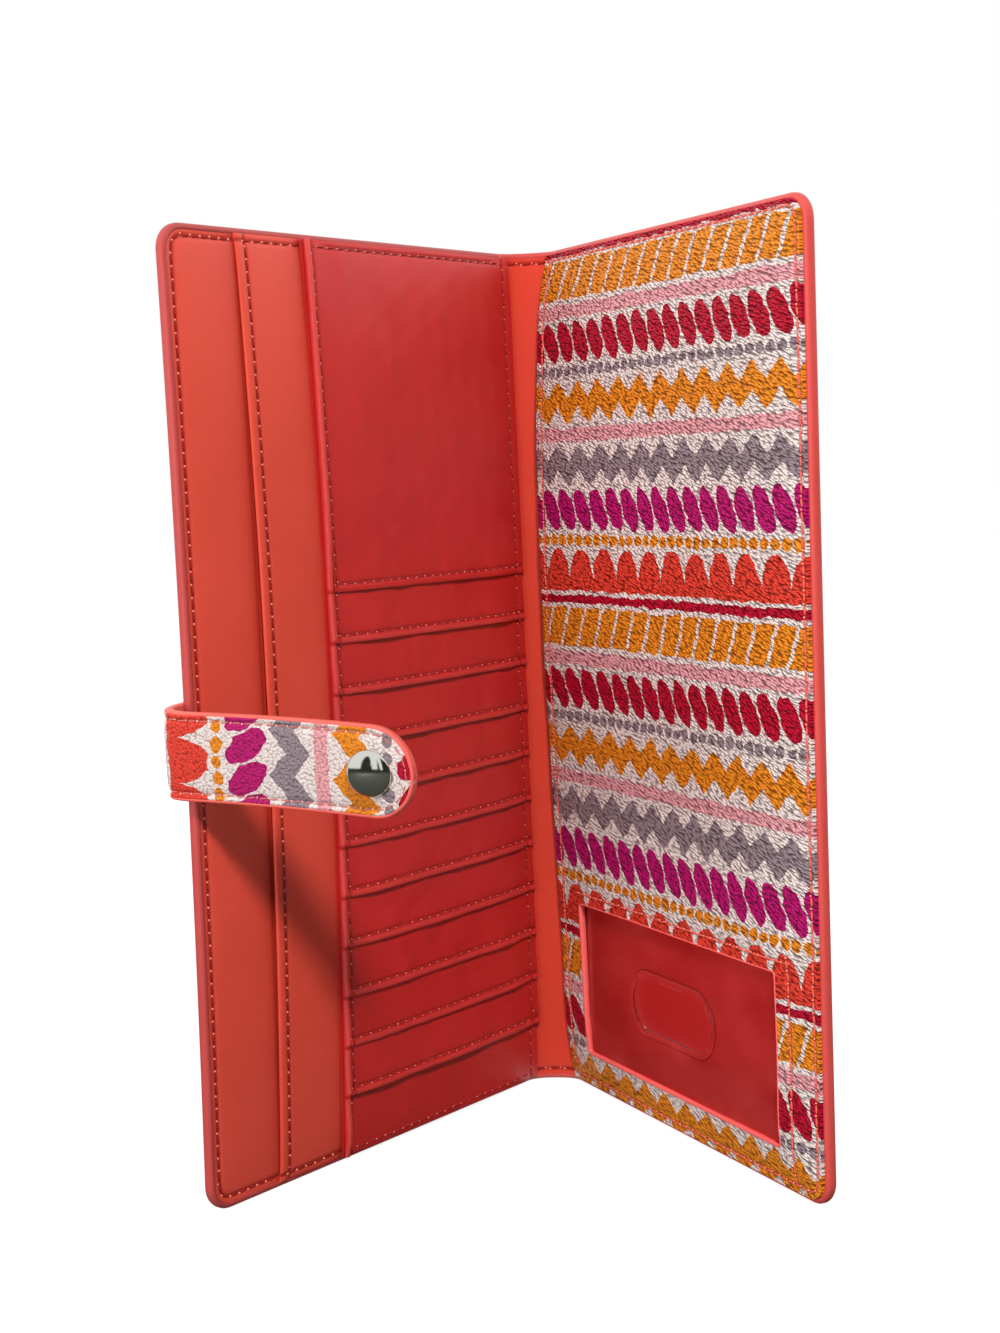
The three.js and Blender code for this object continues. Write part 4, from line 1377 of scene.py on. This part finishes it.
def strap_grid(start, stop, inset, fine=()):
    """Places on one length of the strap, drawn in from its edges by inset, with the round tip."""
    half = STRAP_HALF - inset
    across = spread(-half, half, 1.2, 0.9, fine)
    s = spread(start, stop, 1.2, 0.9 if stop > SNAP_AT else 0.1)
    s, w = np.meshgrid(s, across, indexing="ij")
    end = SNAP_AT + np.sqrt(np.maximum(half**2 - w**2, 0))
    tip = STRAP_END - inset
    begin = STRAP_END - 3 * STRAP_HALF
    drawn = begin + (s - begin) * (end - begin) / (tip - begin)
    return np.where(s > begin, drawn, s), w


def from_strap_edge(s, w):
    """How far a place is in from the strap's outline, which is square at the sewn end."""
    beyond = np.hypot(np.maximum(s - SNAP_AT, 0), w)
    return np.minimum(STRAP_HALF - np.where(s > SNAP_AT, beyond, np.abs(w)), s)


def strap_soft(piece, part):
    """Bakes a length of strap's placing into its mesh; the ends of its soft length, at the cover's edge or
    at the fold between gusset and tongue, are found but not used.
    """
    if part == "root":
        ends = (FREE_START - BEND_BEFORE, FREE_START + BEND_AFTER)
    else:
        ends = (FLAP_AT - FLAP_SOFT, FLAP_AT + FLAP_SOFT)
    start, end = (tuple(strap_place(np.array(at), 0, 0)) for at in ends)
    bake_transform(piece)
    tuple(start)
    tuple(end)


shaded_strap_canvas = printed("printed_strap_canvas_shaded", turned=True)
pale_thread = sewing_thread("pale_thread", (150, 76, 72), (186, 110, 104), (236, 180, 170))
strap_edge = leatherette("strap_edge_coral", (200, 78, 68), (216, 94, 84), 0.42, 0.03)
STRAP_PARTS = (("root", 0, SPLIT_AT, ("anchor", "gusset")), ("tongue", SPLIT_AT, STRAP_END, ("tongue",)))
FACE_INSET = 0.75
SEAM_AT = STRAP_HALF - STRAP_SEAM
SEAM_START = 3


def strap_face(s, w):
    seam = from_strap_edge(s, w) - STRAP_SEAM
    puff = 0.3 * (1 - np.exp(-np.maximum(seam, 0) / 2)) + 0.2 * nearness(seam + 1.1, 0.8)
    return -(STRAP_THICK / 2 + puff + stitch_dip(seam, 0.4, 0.7))


for part, start, stop, solids in STRAP_PARTS:
    s, w = strap_grid(start, stop, 0)
    edge = from_strap_edge(s, w)
    half_thick = STRAP_THICK / 2 - rolled(np.maximum(edge, 0), 0.7)
    under = 0.7 * np.clip((edge - FACE_INSET - 0.1) / 0.4, 0, 1)
    behind = under - half_thick
    body = sheet_piece(f"strap_{part}_lining", strap_place, s, w, half_thick, behind, strap_edge)
    strap_soft(body, part)
    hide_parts(*(f"strap_{solid}_lining" for solid in solids))
    s, w = strap_grid(start, stop, FACE_INSET, (-SEAM_AT, SEAM_AT))
    edge = from_strap_edge(s, w)
    face = strap_face(s, w) + rolled(np.maximum(edge - FACE_INSET, 0), 0.5)
    shade = nearness(edge - STRAP_SEAM)
    skin = sheet_piece(f"strap_{part}_skin", strap_place, s, w, face, -0.6, shaded_strap_canvas, shade)
    strap_soft(skin, part)
    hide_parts(*(f"strap_{solid}_outer" for solid in solids))
    if part == "root":
        straight = np.linspace(stop, SEAM_START, 60)
        end_s, end_w = np.full(14, SEAM_START), np.linspace(-SEAM_AT, SEAM_AT, 14)
    else:
        straight = np.linspace(start, SNAP_AT, 40)
        turn = np.linspace(-math.pi / 2, math.pi / 2, 40)
        end_s, end_w = SNAP_AT + SEAM_AT * np.cos(turn), SEAM_AT * np.sin(turn)
    side_w = np.full(len(straight), SEAM_AT)
    line_s = np.concatenate([straight, end_s, straight[::-1]])
    line_w = np.concatenate([-side_w, end_w, side_w])
    path = strap_place(line_s, line_w, strap_face(line_s, line_w) - 0.05)
    rows = [(path, strap_facing(line_s))]
    stitches = sew(f"strap_{part}_stitches", rows, width=0.44, slant=0.06, thread=pale_thread)
    strap_soft(stitches, part)


# Snap: four turned and nickel-plated brass parts. The domed cap is riveted through the strap to the socket
# behind it, and the stud is riveted through the front cover by its post.
nickel, tree, shader = started("nickel", 0.2, srgb(214, 214, 206))
shader.inputs["Metallic"].default_value = 1
rubbed = noise_field(tree, solid_place(tree), 700, 4, 0.65)
tree.links.new((rubbed * 0.12 + 0.05).socket, shader.inputs["Roughness"])
bump(tree, rubbed, 0.02, shader)


def turned_piece(name, middle, axis, shape, sides=72):
    """A turned metal part: shape is its outline as (radius, height) about an axis, closed at both ends."""
    axis = Vector(axis).normalized()
    first = axis.orthogonal().normalized()
    second = axis.cross(first)
    angles = np.linspace(0, 2 * math.pi, sides, endpoint=False)
    ring = np.cos(angles)[:, None] * np.array(first) + np.sin(angles)[:, None] * np.array(second)
    rounds = [np.array(middle) + (ring * radius + np.array(axis) * height) * MM for radius, height in shape]
    index = np.arange(len(shape) * sides).reshape(len(shape), sides)
    beside = np.roll(index, -1, axis=1)
    quads = np.stack([index[:-1], index[1:], beside[1:], beside[:-1]], -1).reshape(-1, 4)
    faces = quads.tolist() + [index[0].tolist(), index[-1, ::-1].tolist()]
    return mesh_piece(name, np.concatenate(rounds), faces, nickel)


CAP_RADIUS, CAP_RIM, CAP_RISE = 5.8, 0.7, 2.6
CAP_TURN = np.array((0.16, 0, 0.16))
CAP_DEPTH, SOCKET_DEPTH = -1.25, 1.0
outward = strap_facing(np.array(SNAP_AT))
dome = np.linspace(0.06, math.pi / 2 - 0.02, 16)[::-1]
CAP_SHAPE = [(CAP_RADIUS - 0.5, -1.2), (CAP_RADIUS - 0.1, -1.1), (CAP_RADIUS, 0.4)]
CAP_SHAPE += [(CAP_RADIUS * math.sin(turn), CAP_RIM + CAP_RISE * math.cos(turn)) for turn in dome]
cap_middle = strap_place(np.array(SNAP_AT), 0, CAP_DEPTH)
cap = turned_piece("snap_dome", cap_middle, outward + CAP_TURN, CAP_SHAPE)
sewn_in(cap, "strap_tongue", "nickel", "snap_cap")

SOCKET_SHAPE = [(0.1, 0), (5.4, 0), (5.4, 0.45), (5.2, 0.7), (4.6, 0.75), (4.5, 2), (4.3, 2.3), (4, 2.3)]
SOCKET_SHAPE += [(3.8, 2), (3.75, 0.8), (2.2, 0.75), (2, 1.2), (1.2, 1.25), (0.1, 1.25)]
socket_middle = strap_place(np.array(SNAP_AT), 0, SOCKET_DEPTH)
socket = turned_piece("snap_ring", socket_middle, -outward, SOCKET_SHAPE)
sewn_in(socket, "strap_tongue", "nickel", "snap_socket")

STUD_SHAPE = [(0.1, -1.2), (4.4, -1.2), (4.4, -0.2), (5.2, -0.1), (5.5, 0.15), (5.4, 0.5), (4.9, 0.7)]
STUD_SHAPE += [(3.2, 0.75), (3.1, 1), (3.4, 1.35), (3.35, 1.7), (3, 2.1), (2.3, 2.2), (2.1, 2), (1, 1.95)]
STUD_SHAPE += [(0.1, 1.95)]
low, high = front.extent("snap_stud")
stud_u, stud_z = (low[0] + high[0]) / 2, (low[1] + high[1]) / 2
stud_middle = front.place(np.array(stud_u), np.array(stud_z), high[2])
stud = turned_piece("snap_button", stud_middle, -front.inward, STUD_SHAPE)
sewn_in(stud, "front_cover", "nickel", "snap_stud", "snap_post")
